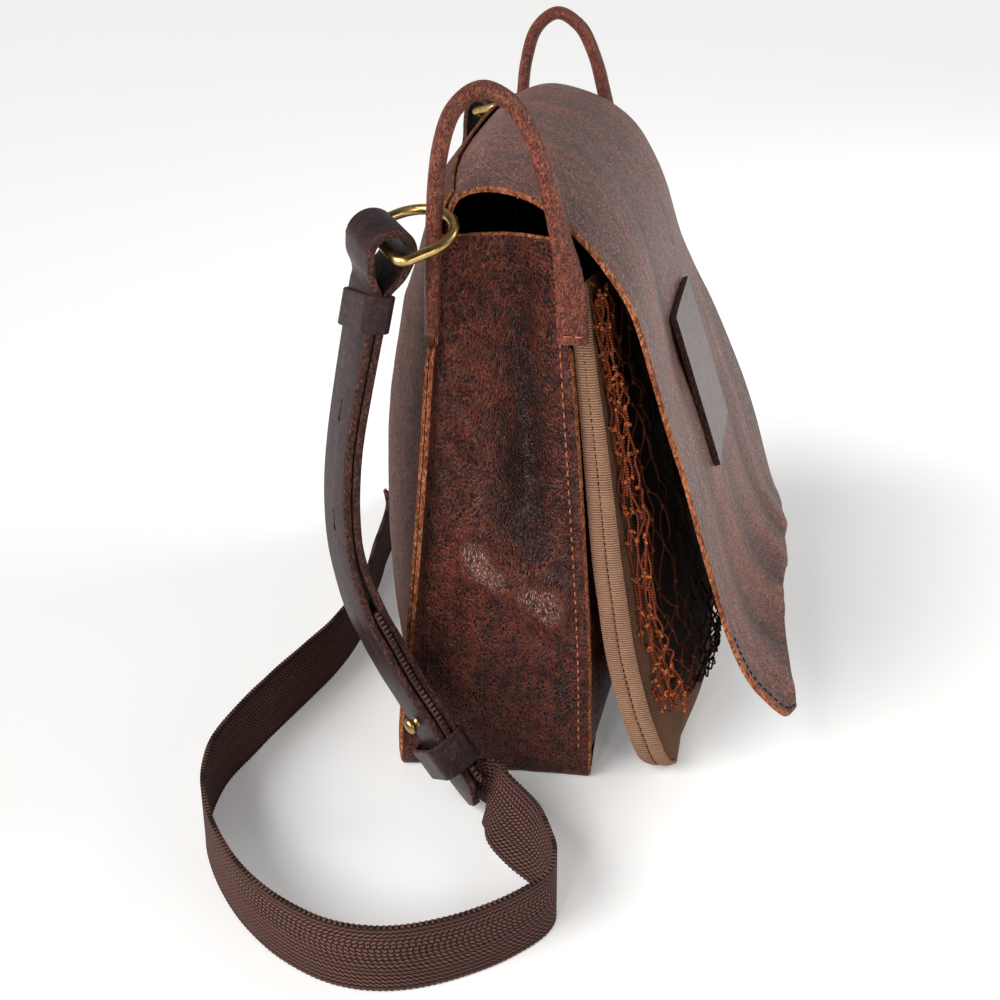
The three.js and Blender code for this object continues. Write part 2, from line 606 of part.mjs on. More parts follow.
piece('carry_loop_far', loopSolid(1), colours.loopLeather, 0.6);

// D-rings: a straight bar inside the strap's fold and a bow round the loop's back leg.
function ringSolid(end) {
  const mirror = (v) => point(-end * v.x, v.y, v.z);
  const along = mirror(ringAlong).normalize();
  const across = mirror(ringAcross);
  across.addScaledVector(along, -across.dot(along)).normalize();
  const bar = mirror(ringBar);
  const half = (ringInside.width + ringWire) / 2;
  const straight = ringInside.depth + ringWire - half;
  const corner = 5;
  const outline = new THREE.Path();
  outline.moveTo(-half + corner, 0).lineTo(half - corner, 0);
  outline.absarc(half - corner, corner, corner, -Math.PI / 2, 0).lineTo(half, straight);
  outline.absarc(0, straight, half, 0, Math.PI).lineTo(-half, corner);
  outline.absarc(-half + corner, corner, corner, Math.PI, 1.5 * Math.PI);
  const normal = along.clone().cross(across);
  const at = (p) => bar.clone().addScaledVector(along, p.x).addScaledVector(across, p.y);
  const count = 24;
  const rings = Array.from({ length: count }, (_, i) => {
    const f = i / count;
    const centre = outline.getPointAt(f);
    const flat = outline.getTangentAt(f);
    const outwards = along.clone().multiplyScalar(flat.y).addScaledVector(across, -flat.x);
    return Array.from({ length: 6 }, (_, k) => {
      const angle = (2 * Math.PI * k) / 6;
      return at(centre)
        .addScaledVector(outwards, (ringWire / 2) * Math.cos(angle))
        .addScaledVector(normal, (ringWire / 2) * Math.sin(angle));
    });
  });
  return loft(rings, true);
}
piece('d_ring_near', ringSolid(-1), colours.brass, 0.25, 1);
piece('d_ring_far', ringSolid(1), colours.brass, 0.25, 1);

// A strap's frame at a place in its table: its middle, its direction, its width and its outer side.
function strapFrame(table, place, end) {
  const last = table.length - 1;
  const at = (p) => point(value(table, 'x', p), value(table, 'y', p), value(table, 'z', p));
  const along = at(Math.min(place + 0.05, last)).sub(at(Math.max(place - 0.05, 0))).normalize();
  const turn = radians(value(table, 'turn', place));
  const across = point(Math.cos(turn), Math.sin(turn), 0);
  across.addScaledVector(along, -across.dot(along)).normalize();
  const outer = along.clone().cross(across).multiplyScalar(-end).normalize();
  return { centre: at(place), along, across, outer, half: (strapWidth * value(table, 'part', place)) / 2 };
}

// A leather strap folded over the ring's bar: up one layer, round the fold and down the other.
function foldedStrap(table, tip, end) {
  const whole = [...table, ...tip];
  const section = (place, offset, outSide) => {
    const f = strapFrame(whole, place, end);
    const middle = f.centre.clone().addScaledVector(f.outer, offset);
    const corner = (w, t) =>
      middle
        .clone()
        .addScaledVector(f.across, w * f.half)
        .addScaledVector(outSide, (t * strapLeather) / 2);
    return [corner(-1, -1), corner(1, -1), corner(1, 1), corner(-1, 1)];
  };
  const layer = (from, to, side) =>
    steps(Math.round((strapSteps * Math.abs(to - from)) / whole.length)).map((f) => {
      const place = THREE.MathUtils.lerp(from, to, f);
      const outSide = strapFrame(whole, place, end).outer.multiplyScalar(side);
      return section(place, (side * value(whole, 'apart', place)) / 2, outSide);
    });
  const top = strapFrame(whole, 0, end);
  const radius = table[0].apart / 2;
  const bow = [-60, -30, 0, 30, 60].map((degrees) => {
    const angle = radians(degrees);
    const outSide = top.outer.clone().multiplyScalar(Math.sin(angle));
    outSide.addScaledVector(top.along, -Math.cos(angle));
    const middle = top.centre.clone().addScaledVector(outSide, radius);
    const corner = (w, t) =>
      middle
        .clone()
        .addScaledVector(top.across, w * top.half)
        .addScaledVector(outSide, (t * strapLeather) / 2);
    return [corner(-1, -1), corner(1, -1), corner(1, 1), corner(-1, 1)];
  });
  return loft([...layer(table.length - 1, 0, -1), ...bow, ...layer(0, whole.length - 1, 1)]);
}

// A solid for cutting, from a closed geometry.
function cuttable(geometry) {
  const bare = geometry.clone();
  bare.deleteAttribute('normal');
  bare.deleteAttribute('uv');
  const merged = mergeVertices(bare, 1e-4);
  return new wasm.Manifold(
    new wasm.Mesh({
      numProp: 3,
      vertProperties: merged.attributes.position.array,
      triVerts: new Uint32Array(merged.index.array),
    }),
  );
}

function fromSolid(cut) {
  const mesh = cut.getMesh();
  const geometry = new THREE.BufferGeometry();
  geometry.setAttribute('position', new THREE.BufferAttribute(new Float32Array(mesh.vertProperties), 3));
  geometry.setIndex(Array.from(mesh.triVerts));
  return geometry;
}

// The frame of the near strap's outer layer at a height, with Z pointing away from the bag.
function outerLayerFrame(height) {
  const place = placeOf(strapRows, 'z', height);
  const f = strapFrame(strapRows, place, 1);
  const basis = new THREE.Matrix4().makeBasis(f.across, f.outer.clone().cross(f.across), f.outer);
  const face = f.centre.clone().addScaledVector(f.outer, value(strapRows, 'apart', place) / 2);
  return basis.setPosition(face);
}

function nearStrap() {
  const slits = slitHeights.map((height) => {
    const box = new THREE.BoxGeometry(slit.wide, slit.long, slit.deep);
    return cuttable(box.applyMatrix4(outerLayerFrame(height)));
  });
  const whole = cuttable(foldedStrap(strapRows, strapTip, 1));
  return fromSolid(slits.reduce((strap, cutter) => strap.subtract(cutter), whole));
}
piece('strap_leather_near', nearStrap(), colours.strapLeather, 0.5);
piece('strap_leather_far', foldedStrap(farStrapRows, [], -1), colours.strapLeather, 0.5);

// Keepers: leather bands round both layers of the near strap.
function keeperSolid({ z, inside, slant, loose }) {
  const place = placeOf(strapRows, 'z', z);
  const f = strapFrame(strapRows, place, 1);
  const half = {
    wide: inside / 2 + keeperBand.slack + keeperBand.thick / 2,
    deep: (value(strapRows, 'apart', place) + strapLeather + keeperBand.thick) / 2 + keeperBand.slack,
  };
  const corner = 2.2;
  const outline = new THREE.Path();
  outline.moveTo(half.wide - corner, -half.deep);
  outline.absarc(half.wide - corner, -half.deep + corner, corner, -Math.PI / 2, 0);
  outline.absarc(half.wide - corner, half.deep + loose - corner, corner, 0, Math.PI / 2);
  outline.absarc(-half.wide + corner, half.deep + loose - corner, corner, Math.PI / 2, Math.PI);
  outline.absarc(-half.wide + corner, -half.deep + corner, corner, Math.PI, 1.5 * Math.PI);
  const corners = outline.getPoints(2).slice(1);
  const rings = corners.map((p, i) => {
    const before = corners[(i + corners.length - 1) % corners.length];
    const after = corners[(i + 1) % corners.length];
    const flat = after.clone().sub(before).normalize();
    const outwards = f.across.clone().multiplyScalar(flat.y).addScaledVector(f.outer, -flat.x);
    const middle = f.centre.clone().addScaledVector(f.across, p.x).addScaledVector(f.outer, p.y);
    const at = (t, h) =>
      middle
        .clone()
        .addScaledVector(outwards, (t * keeperBand.thick) / 2)
        .addScaledVector(f.along, (h * keeperBand.tall) / 2 + slant * p.x);
    return [at(-1, -1), at(1, -1), at(1, 1), at(-1, 1)];
  });
  return loft(rings, true);
}
piece('keeper_upper', keeperSolid(keepers.upper), colours.strapLeather, 0.5);
piece('keeper_lower', keeperSolid(keepers.lower), colours.strapLeather, 0.5);

// Stud: a brass button on the strap's outer face.
function studSolid() {
  const profile = [
    [0, 0],
    [stud.neck * 1.5, 0],
    [stud.neck, stud.tall * 0.15],
    [stud.neck, stud.tall * 0.3],
    [stud.head * 0.8, stud.tall * 0.38],
    [stud.head, stud.tall * 0.58],
    [stud.head * 0.75, stud.tall * 0.88],
    [0, stud.tall],
  ].map(([r, h]) => new THREE.Vector2(r, h));
  const turned = new THREE.LatheGeometry(profile, 12);
  turned.rotateX(Math.PI / 2).translate(0, 0, strapLeather / 2 + seamGap);
  const bare = fromSolid(cuttable(turned));
  return bare.applyMatrix4(outerLayerFrame(stud.z));
}
piece('stud', studSolid(), colours.brass, 0.25, 1);

// Webbing: one flat band along its route, twisting as its width turns. Its ends follow the strap leathers.
function strapStations(table, end, highest, side) {
  return table
    .map((row, place) => ({ row, frame: strapFrame(table, place, end) }))
    .filter(({ row }) => row.z < highest)
    .map(({ row, frame }) => ({
      x: row.x,
      y: row.y,
      z: row.z,
      leanX: side * frame.across.x,
      leanY: side * frame.across.y,
    }));
}
function webbingSolid() {
  const route = [
    ...strapStations(strapRows, 1, webbingReach.near, -1),
    ...webbingRoute,
    ...strapStations(farStrapRows, -1, webbingReach.far + 1, 1).reverse(),
  ];
  const last = route.length - 1;
  const at = (p) => point(value(route, 'x', p), value(route, 'y', p), value(route, 'z', p));
  const rings = steps(webbingSteps).map((f) => {
    const place = f * last;
    const along = at(Math.min(place + 0.05, last)).sub(at(Math.max(place - 0.05, 0))).normalize();
    const lean = [value(route, 'leanX', place), value(route, 'leanY', place)];
    const across = point(...lean, Math.sqrt(Math.max(1 - lean[0] ** 2 - lean[1] ** 2, 0)));
    across.addScaledVector(along, -across.dot(along)).normalize();
    const face = along.clone().cross(across);
    const corner = (w, t) => {
      const spot = at(place)
        .addScaledVector(across, (w * webbingWidth) / 2)
        .addScaledVector(face, (t * webbingThickness) / 2);
      return spot.setZ(Math.max(spot.z, webbingClear));
    };
    return [corner(-1, -1), corner(1, -1), corner(1, 1), corner(-1, 1)];
  });
  return loft(rings);
}
piece('webbing', webbingSolid(), colours.webbing, 0.95);

const huntingBag = new THREE.Group();
huntingBag.add(...meshes);
export default huntingBag;
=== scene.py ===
import math
from functools import partial

import bpy
import numpy as np
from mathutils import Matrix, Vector, noise


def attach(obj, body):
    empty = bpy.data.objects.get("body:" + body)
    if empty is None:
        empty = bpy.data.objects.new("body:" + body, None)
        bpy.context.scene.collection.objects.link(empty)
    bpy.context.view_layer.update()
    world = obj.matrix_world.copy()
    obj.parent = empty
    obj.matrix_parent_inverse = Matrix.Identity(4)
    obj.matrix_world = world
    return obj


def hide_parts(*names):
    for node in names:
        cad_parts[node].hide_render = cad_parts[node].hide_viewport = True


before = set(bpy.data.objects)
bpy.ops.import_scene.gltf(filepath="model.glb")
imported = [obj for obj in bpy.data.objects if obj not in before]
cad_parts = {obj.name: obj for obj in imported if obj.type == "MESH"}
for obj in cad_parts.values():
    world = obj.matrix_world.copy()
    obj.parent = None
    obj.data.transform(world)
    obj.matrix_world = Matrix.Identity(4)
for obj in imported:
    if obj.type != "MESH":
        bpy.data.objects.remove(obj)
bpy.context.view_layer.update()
scene = bpy.context.scene
rng = np.random.default_rng(7)


# Colours and nodes
def toLinear(code):
    channels = [int(code[i : i + 2], 16) / 255 for i in (1, 3, 5)]
    return [c / 12.92 if c <= 0.04045 else ((c + 0.055) / 1.055) ** 2.4 for c in channels] + [1.0]


# Settings are sockets and properties by name, or a plain row of values for the sockets after the first.
# A link is from a socket, or from a node's first output that is in use.
def addNode(tree, kind, settings=None, links=None):
    node = tree.nodes.new("ShaderNode" + kind)
    if isinstance(settings, tuple):
        settings = dict(enumerate(settings, 1))
    for key, setting in (settings or {}).items():
        if str(setting).startswith("#"):
            setting = toLinear(setting)
        if isinstance(key, int) or key in node.inputs:
            node.inputs[key].default_value = setting
        else:
            setattr(node, key, setting)
    for key, source in (links or {}).items():
        if isinstance(source, bpy.types.Node):
            source = next(socket for socket in source.outputs if socket.enabled)
        tree.links.new(source, node.inputs[key])
    return node


def newMaterial(name):
    made = bpy.data.materials.new(name)
    made.use_nodes = True
    made.node_tree.nodes.clear()
    return made, partial(addNode, made.node_tree)


def close(add, settings, links):
    shader = add("BsdfPrincipled", settings, links)
    add("OutputMaterial", None, {"Surface": shader})


# Camera
eye = {"place": (-0.87659, -0.09682, 0.49640), "towards": (0.90357, 0.12458, -0.40992), "lens": 52.13}
cameraData = bpy.data.cameras.new("camera")
cameraData.sensor_width = 36
cameraData.lens = eye["lens"]
cameraData.clip_start = 0.01
camera = bpy.data.objects.new("camera", cameraData)
camera.location = eye["place"]
camera.rotation_euler = Vector(eye["towards"]).to_track_quat("-Z", "Y").to_euler()
scene.collection.objects.link(camera)
scene.camera = camera
print("stage: camera")


# Tables and meshes
def table(columns, rows):
    return dict(zip(columns.split(), np.array(rows, float).T))


# A column's value at a place between its rows, on a smooth curve through them all.
def value(rows, column, spot):
    known = rows[column]
    last = len(known) - 1
    spot = np.clip(np.asarray(spot, float), 0, last)
    row = np.minimum(np.floor(spot), last - 1).astype(int)
    f = spot - row
    a, b, c, d = (known[np.clip(row + k, 0, last)] for k in (-1, 0, 1, 2))
    bend = (2 * a - 5 * b + 4 * c - d) * f**2 + (3 * b - a - 3 * c + d) * f**3
    return b + 0.5 * ((c - a) * f + bend)


def values(rows, spot, columns):
    return [value(rows, column, spot) for column in columns.split()]


def line(rows, spot, columns="x y z"):
    return np.stack(values(rows, spot, columns), -1)


def unit(v):
    return v / np.maximum(np.linalg.norm(v, axis=-1, keepdims=True), 1e-9)


def heading(rows, spots, columns="x y z"):
    nudge = 0.05
    return unit(line(rows, spots + nudge, columns) - line(rows, spots - nudge, columns))


# How far a sheet that is held at both sides swells, from 0 at its sides to 1 over most of its middle.
def fullness(share):
    return 1 - np.abs(share) ** 3.5


def bell(x, middle, width):
    return np.exp(-(((x - middle) / width) ** 2))


def ripple(points, size, seed):
    flat = points.reshape(-1, 3) / np.asarray(size, float) + seed * 17.3
    return np.array([noise.noise(Vector(p)) for p in flat]).reshape(points.shape[:-1])


# Soft creases, each by its depth, size and seed.
def creases(points, rows):
    return sum(deep * ripple(points, size, seed) for deep, size, seed in rows)


def gridNormals(grid):
    return unit(np.cross(np.gradient(grid, axis=0), np.gradient(grid, axis=1)))


def lengths(points, axis):
    step = np.linalg.norm(np.diff(points, axis=axis), axis=-1)
    first = np.zeros_like(step.take([0], axis))
    return np.concatenate([first, np.cumsum(step, axis)], axis)


# A shape is its points, faces, material slots and places on the flat sheet.
def meshObject(name, shape, materials, sharp=38, worn=None):
    points, faces, slots, flat = shape
    mesh = bpy.data.meshes.new(name)
    mesh.from_pydata((np.asarray(points) / 1000).tolist(), [], [list(f) for f in faces])
    for material in materials:
        mesh.materials.append(material)
    if len(materials) > 1:
        mesh.polygons.foreach_set("material_index", np.asarray(slots, np.int32))
    index = np.empty(len(mesh.loops), np.int32)
    mesh.loops.foreach_get("vertex_index", index)
    layer = mesh.uv_layers.new(name="UVMap")
    layer.data.foreach_set("uv", (np.asarray(flat)[index] / 1000).ravel())
    if worn is not None:
        shares = np.zeros(len(mesh.vertices), np.float32)
        shares[: worn.size] = worn.ravel()
        mesh.attributes.new("worn", "FLOAT", "POINT").data.foreach_set("value", shares)
    mesh.shade_smooth()
    mesh.set_sharp_from_angle(angle=math.radians(sharp))
    mesh.update()
    made = bpy.data.objects.new(name, mesh)
    scene.collection.objects.link(made)
    return made


def piece(name, shape, materials, slot, *nodes, sharp=38, worn=None):
    made = meshObject(name, shape, materials, sharp, worn)
    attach(made, "root")
    if nodes:
        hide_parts(*nodes)
    return made


# A wall of even thickness round a grid, whose normals point to its outer side, with a rounded cut rim.
# The outer side can stop short of the rim, so that the cut edge slopes.
def wall(grid, thickness, slope=0.0, roll=0.2, lowest=-math.inf):
    count = grid.shape[0] * grid.shape[1]
    normals = gridNormals(grid)
    index = np.arange(count).reshape(grid.shape[:2])
    quads = np.stack([index[:-1, :-1], index[:-1, 1:], index[1:, 1:], index[1:, :-1]], -1).reshape(-1, 4)
    rim = np.concatenate([index[0, :-1], index[:-1, -1], index[-1, :0:-1], index[:0:-1, 0]])
    away = np.zeros_like(grid)
    away[0] += unit(grid[0] - grid[1])
    away[-1] += unit(grid[-1] - grid[-2])
    away[:, 0] += unit(grid[:, 0] - grid[:, 1])
    away[:, -1] += unit(grid[:, -1] - grid[:, -2])
    outer = grid + normals * thickness / 2 - away * slope
    inner = grid - normals * thickness / 2
    middle = (grid + away * thickness * roll - away * slope / 2).reshape(-1, 3)[rim]
    points = np.concatenate([outer.reshape(-1, 3), inner.reshape(-1, 3), middle])
    points[:, 2] = np.maximum(points[:, 2], lowest)
    ring = 2 * count + np.arange(len(rim))
    nextRim = np.roll(rim, -1)
    nextRing = np.roll(ring, -1)
    upper = np.stack([nextRim, rim, ring, nextRing], -1)
    lower = np.stack([nextRing, ring, rim + count, nextRim + count], -1)
    faces = np.concatenate([quads, quads[:, ::-1] + count, upper, lower])
    slots = np.repeat([0, 1, 2], [len(quads), len(quads), 2 * len(rim)])
    flat = np.stack([lengths(grid, 1), lengths(grid, 0)], -1).reshape(-1, 2)
    return points, faces, slots, np.concatenate([flat, flat, flat[rim]])


def joined(*shapes):
    faces = []
    start = 0
    for points, ownFaces, _, _ in shapes:
        faces.extend((np.asarray(f) + start).tolist() for f in ownFaces)
        start += len(points)
    points, slots, flat = (np.concatenate([shape[k] for shape in shapes]) for k in (0, 2, 3))
    return points, faces, slots, flat


# A body lofted through rings of points, closed on itself or capped at both ends.
def loft(rings, isClosed=False, slotOf=None):
    count, sides = rings.shape[:2]
    index = np.arange(count * sides).reshape(count, sides)
    after = np.roll(index, -1, 0) if isClosed else index[1:]
    here = index if isClosed else index[:-1]
    quads = np.stack([here, np.roll(here, -1, 1), np.roll(after, -1, 1), after], -1)
    faces = quads.reshape(-1, 4).tolist()
    slots = np.tile(np.zeros(sides, int) if slotOf is None else slotOf, len(here)).tolist()
    if not isClosed:
        faces += [index[0, ::-1].tolist(), index[-1].tolist()]
        slots += [max(slots)] * 2
    flat = np.stack([lengths(rings, 1), lengths(rings, 0)], -1).reshape(-1, 2)
    return rings.reshape(-1, 3), faces, np.array(slots), flat


# Even steps round a closed outline, and the direction at each.
def roundOutline(outline, count):
    closed = np.concatenate([outline, outline[:1]])
    run = lengths(closed, 0)
    spots = np.linspace(0, run[-1], count + 1)[:-1]
    flat = np.stack([np.interp(spots, run, closed[:, k]) for k in (0, 1)], -1)
    return flat, unit(np.roll(flat, -1, 0) - np.roll(flat, 1, 0))


def circle(count):
    return 2 * np.pi * np.arange(count) / count


# A sheet's cut size before it was sewn in, measured along the middle of its grid both ways.
def sheetOf(grid):
    width = lengths(grid, 1)[:, -1].max() / 1000
    length = lengths(grid, 0)[-1].max() / 1000


# Leather in all its kinds: a grain of drawn-out pebbles, each with its own depth of colour, thin pale
# strings between them where the hide was creased, blotches of wax and streaks where it was pulled. A mesh
# can carry "worn", which is above zero on ridges, rubbed lighter and given a painted glint of pale tops,
# and below zero in hollows, which get painted shade towards the pit tone.
# A row of levels is where a layer starts and stops in the pattern it reads, then what it gives there.
hide = {
    "wind": 0.08, "bend": 7.0, "patchy": 0.13, "uneven": 0.35, "paintedGlint": "#c4aca6",
    "strings": (0.0, 0.1, 1.0, 0.0), "dome": (0.0, 0.35), "broken": (0.38, 0.6, 0.15),
    "blotches": (0.36, 0.66), "streaks": (0.46, 0.7, 0.0), "above": (0.0, 0.75), "high": (0.6, 1.0, 0.0),
    "hollowShade": (-1.0, 0.0, 0.3), "glintRidge": (0.36, 0.6, 0.0), "top": (0.45, 1.1), "shine": (0.0, 1.2),
}
plainHide = {"crested": 0.5, "stringed": 0.1, "glintShare": 0.0, "pull": 0.5, "drawn": (1, 1, 1)}
toMm = {"operation": "SCALE", "Scale": 1000.0}
times = {"operation": "MULTIPLY"}
tinted = {"data_type": "RGBA"}


def leather(name, look):
    look = {**plainHide, **look}
    pit, dark, mid, light, crest = look["tones"].split()
    across, along = look["streak"]
    shiny, dull = look["rough"]
    made, add = newMaterial(name)
    coords = add("TexCoord")
    mm = add("VectorMath", toMm, {0: coords.outputs["Object"]})
    grains = add("VectorMath", {"operation": "SCALE", "Scale": 1 / look["grain"]}, {0: mm})
    wind = add("TexNoise", {"Scale": hide["wind"], "Detail": 1.0}, {"Vector": grains})
    winding = {"operation": "MULTIPLY_ADD", 1: (hide["bend"],) * 3}
    bent = add("VectorMath", winding, {0: wind.outputs["Color"], 2: grains})
    drawn = add("VectorMath", {**times, 1: look["drawn"]}, {0: bent})
    cell = add("TexVoronoi", {"Scale": 1.0}, {"Vector": drawn})
    tone = add("SeparateXYZ", None, {0: cell.outputs["Color"]})
    edge = add("TexVoronoi", {"feature": "DISTANCE_TO_EDGE", "Scale": 1.0}, {"Vector": drawn})
    strings = add("MapRange", hide["strings"], {0: edge})
    dome = add("MapRange", hide["dome"], {0: edge})
    patchy = add("TexNoise", {"Scale": hide["patchy"], "Detail": 2.0}, {"Vector": grains})
    broken = add("MapRange", (*hide["broken"], look["stringed"]), {0: patchy})
    strung = add("Math", times, {0: strings, 1: broken})
    relief = add("Math", {"operation": "MULTIPLY_ADD", 1: hide["uneven"]}, {0: tone, 2: dome})
    blotch = add("TexNoise", {"Scale": 1 / look["blotch"], "Detail": 5.0}, {"Vector": mm})
    blotches = add("MapRange", hide["blotches"], {0: blotch})
    pulling = {"Scale": (1000 / across, 1000 / along, 1.0)}
    pulls = add("Mapping", pulling, {"Vector": coords.outputs["UV"]})
    streak = add("TexNoise", {"Scale": 1.0, "Detail": 3.0, "Distortion": 0.3}, {"Vector": pulls})
    streaks = add("MapRange", (*hide["streaks"], look["pull"]), {0: streak})
    base = add("Mix", {**tinted, 6: dark, 7: mid}, {0: blotches})
    pulled = add("Mix", {**tinted, 7: light}, {0: streaks, 6: base})
    worn = add("Attribute", {"attribute_name": "worn"}).outputs["Fac"]
    # Ridges rubbed lighter, and painted shade darkening the hollows towards the pit tone.
    rubbed = add("Mix", {**tinted, 7: light}, {0: worn, 6: pulled})
    below = add("Math", {**times, 1: -1.0}, {0: worn})
    sunk = add("Mix", {**tinted, 7: pit}, {0: below, 6: rubbed})
    above = add("MapRange", hide["above"], {0: tone})
    pitted = add("Mix", {**tinted, 6: pit}, {0: above, 7: sunk})
    high = add("MapRange", (*hide["high"], look["crested"]), {0: tone})
    raised = add("Math", {"operation": "MAXIMUM"}, {0: high, 1: strung})
    # Painted shade: fewer pale crests in the hollows.
    hollowShade = add("MapRange", hide["hollowShade"], {0: worn})
    crests = add("Math", times, {0: raised, 1: hollowShade})
    crested = add("Mix", {**tinted, 7: crest}, {0: crests, 6: pitted})
    # Painted glint: pale pebble tops on the worn ridges.
    glintRidge = add("MapRange", (*hide["glintRidge"], look["glintShare"]), {0: worn})
    top = add("MapRange", hide["top"], {0: relief})
    paintedGlint = add("Math", times, {0: glintRidge, 1: top})
    colour = add("Mix", {**tinted, 7: hide["paintedGlint"]}, {0: paintedGlint, 6: crested})
    shine = add("MapRange", (*hide["shine"], dull, shiny), {0: relief})
    bump = add("Bump", {"Strength": 1.0, "Distance": look["depth"] / 1000}, {"Height": relief})
    finish = {"Base Color": colour, "Roughness": shine, "Normal": bump}
    close(add, {"Specular IOR Level": look["specular"]}, finish)
    return made


# Tones run from the pits through dark, middle and light hide to the crests. Grain, blotch and streak are
# in millimetres.
# Glossy red-brown hide of the ends: near-black pits and rust strings, with a painted glint on the
# gusset's swellings.
bodyLeather = leather("pull_up_leather", {
    "tones": "#070202 #1f0b07 #43180f #622819 #8f4630", "crested": 0.1, "stringed": 0.7,
    "glintShare": 0.42, "grain": 1.3, "drawn": (1, 1, 0.45), "blotch": 45, "streak": (12, 110),
    "pull": 0.4, "rough": (0.24, 0.5), "depth": 0.45, "specular": 0.24,
})
# The back: the same hide rubbed grey, with rust scratches.
backLeather = leather("rubbed_leather", {
    "tones": "#2a1711 #38201a #4e2b21 #6c3525 #8c5038", "crested": 0.2, "stringed": 0.5, "grain": 1.1,
    "drawn": (1, 0.5, 0.9), "blotch": 50, "streak": (8, 60), "rough": (0.38, 0.65), "depth": 0.5,
    "specular": 0.14,
})
# The flap: grey-brown wax that mirrors the room, with rust streaks down its folds. Its grain's pale
# crests are partly grain and partly painted highlight, and its fold tops get a painted glint.
flapLeather = leather("waxed_leather", {
    "tones": "#34201b #54342c #774d42 #a8502f #bc938a", "crested": 0.45, "stringed": 0.35,
    "glintShare": 0.2, "grain": 0.8, "drawn": (0.7, 1, 0.8), "blotch": 40, "streak": (10, 240),
    "pull": 1.0, "rough": (0.32, 0.56), "depth": 0.45, "specular": 0.34,
})
# Flesh side and insides: dull, and painted almost black as shade.
insideLeather = leather("flesh_side_leather", {
    "tones": "#0c0504 #120806 #1c0d09 #28140d #28140d", "crested": 0.3, "grain": 1.2, "blotch": 22,
    "streak": (5, 40), "pull": 0.4, "rough": (0.75, 0.95), "depth": 0.2, "specular": 0.1,
})
# Cut edges: raw tan fibres that catch the light.
rawEdge = leather("raw_edge", {
    "tones": "#52240f #884628 #a85d38 #c28058 #c88c62", "grain": 0.9, "drawn": (1, 1, 0.4), "blotch": 9,
    "streak": (1.2, 14), "rough": (0.7, 0.9), "depth": 0.4, "specular": 0.2,
})
# Rolled loops: warmer red-brown with a mottled grain.
loopLeather = leather("rolled_leather", {
    "tones": "#34150d #4e2318 #6c3222 #8e4630 #b86a4e", "crested": 0.3, "stringed": 0.5, "grain": 0.8,
    "drawn": (1, 1, 0.5), "blotch": 16, "streak": (2.5, 45), "pull": 0.6, "rough": (0.26, 0.5),
    "depth": 0.35, "specular": 0.3,
})
# Bridle leather of the strap: smooth slate brown, with faint lengthwise wear.
strapFace = leather("bridle_leather", {
    "tones": "#1d1213 #261719 #321f21 #4a2f2c #3a2a2c", "crested": 0.4, "grain": 0.9,
    "drawn": (1, 1, 0.3), "blotch": 24, "streak": (3, 90), "pull": 0.7, "rough": (0.32, 0.48),
    "depth": 0.05, "specular": 0.15,
})
# Its cut edge: brown, fibrous and dull.
strapEdge = leather("bridle_edge", {
    "tones": "#1f100c #3a1e18 #4e2a21 #66392c #74483a", "grain": 1.1, "drawn": (1, 1, 0.6), "blotch": 8,
    "streak": (1.2, 12), "rough": (0.5, 0.8), "depth": 0.5, "specular": 0.3,
})
# The plate on the flap: thick and smooth, pale where it mirrors the light.
patchFace = leather("plate_leather", {
    "tones": "#261512 #3a211a #4c2d25 #664337 #684a3f", "grain": 1.2, "blotch": 14, "streak": (2, 20),
    "rough": (0.26, 0.42), "depth": 0.1, "specular": 0.36,
})

# Woven cloth: threads crossing along the sheet, drawn coarser than life so they can be seen. It can be
# crossed, ribbed or laid in bricks, and darkened deeper within by painted shade.
yarn = {"fuzz": 0.8, "worn": (0.35, 0.68), "slots": (0.1, 0.75, 1.0, 0.0), "hairy": 0.5}


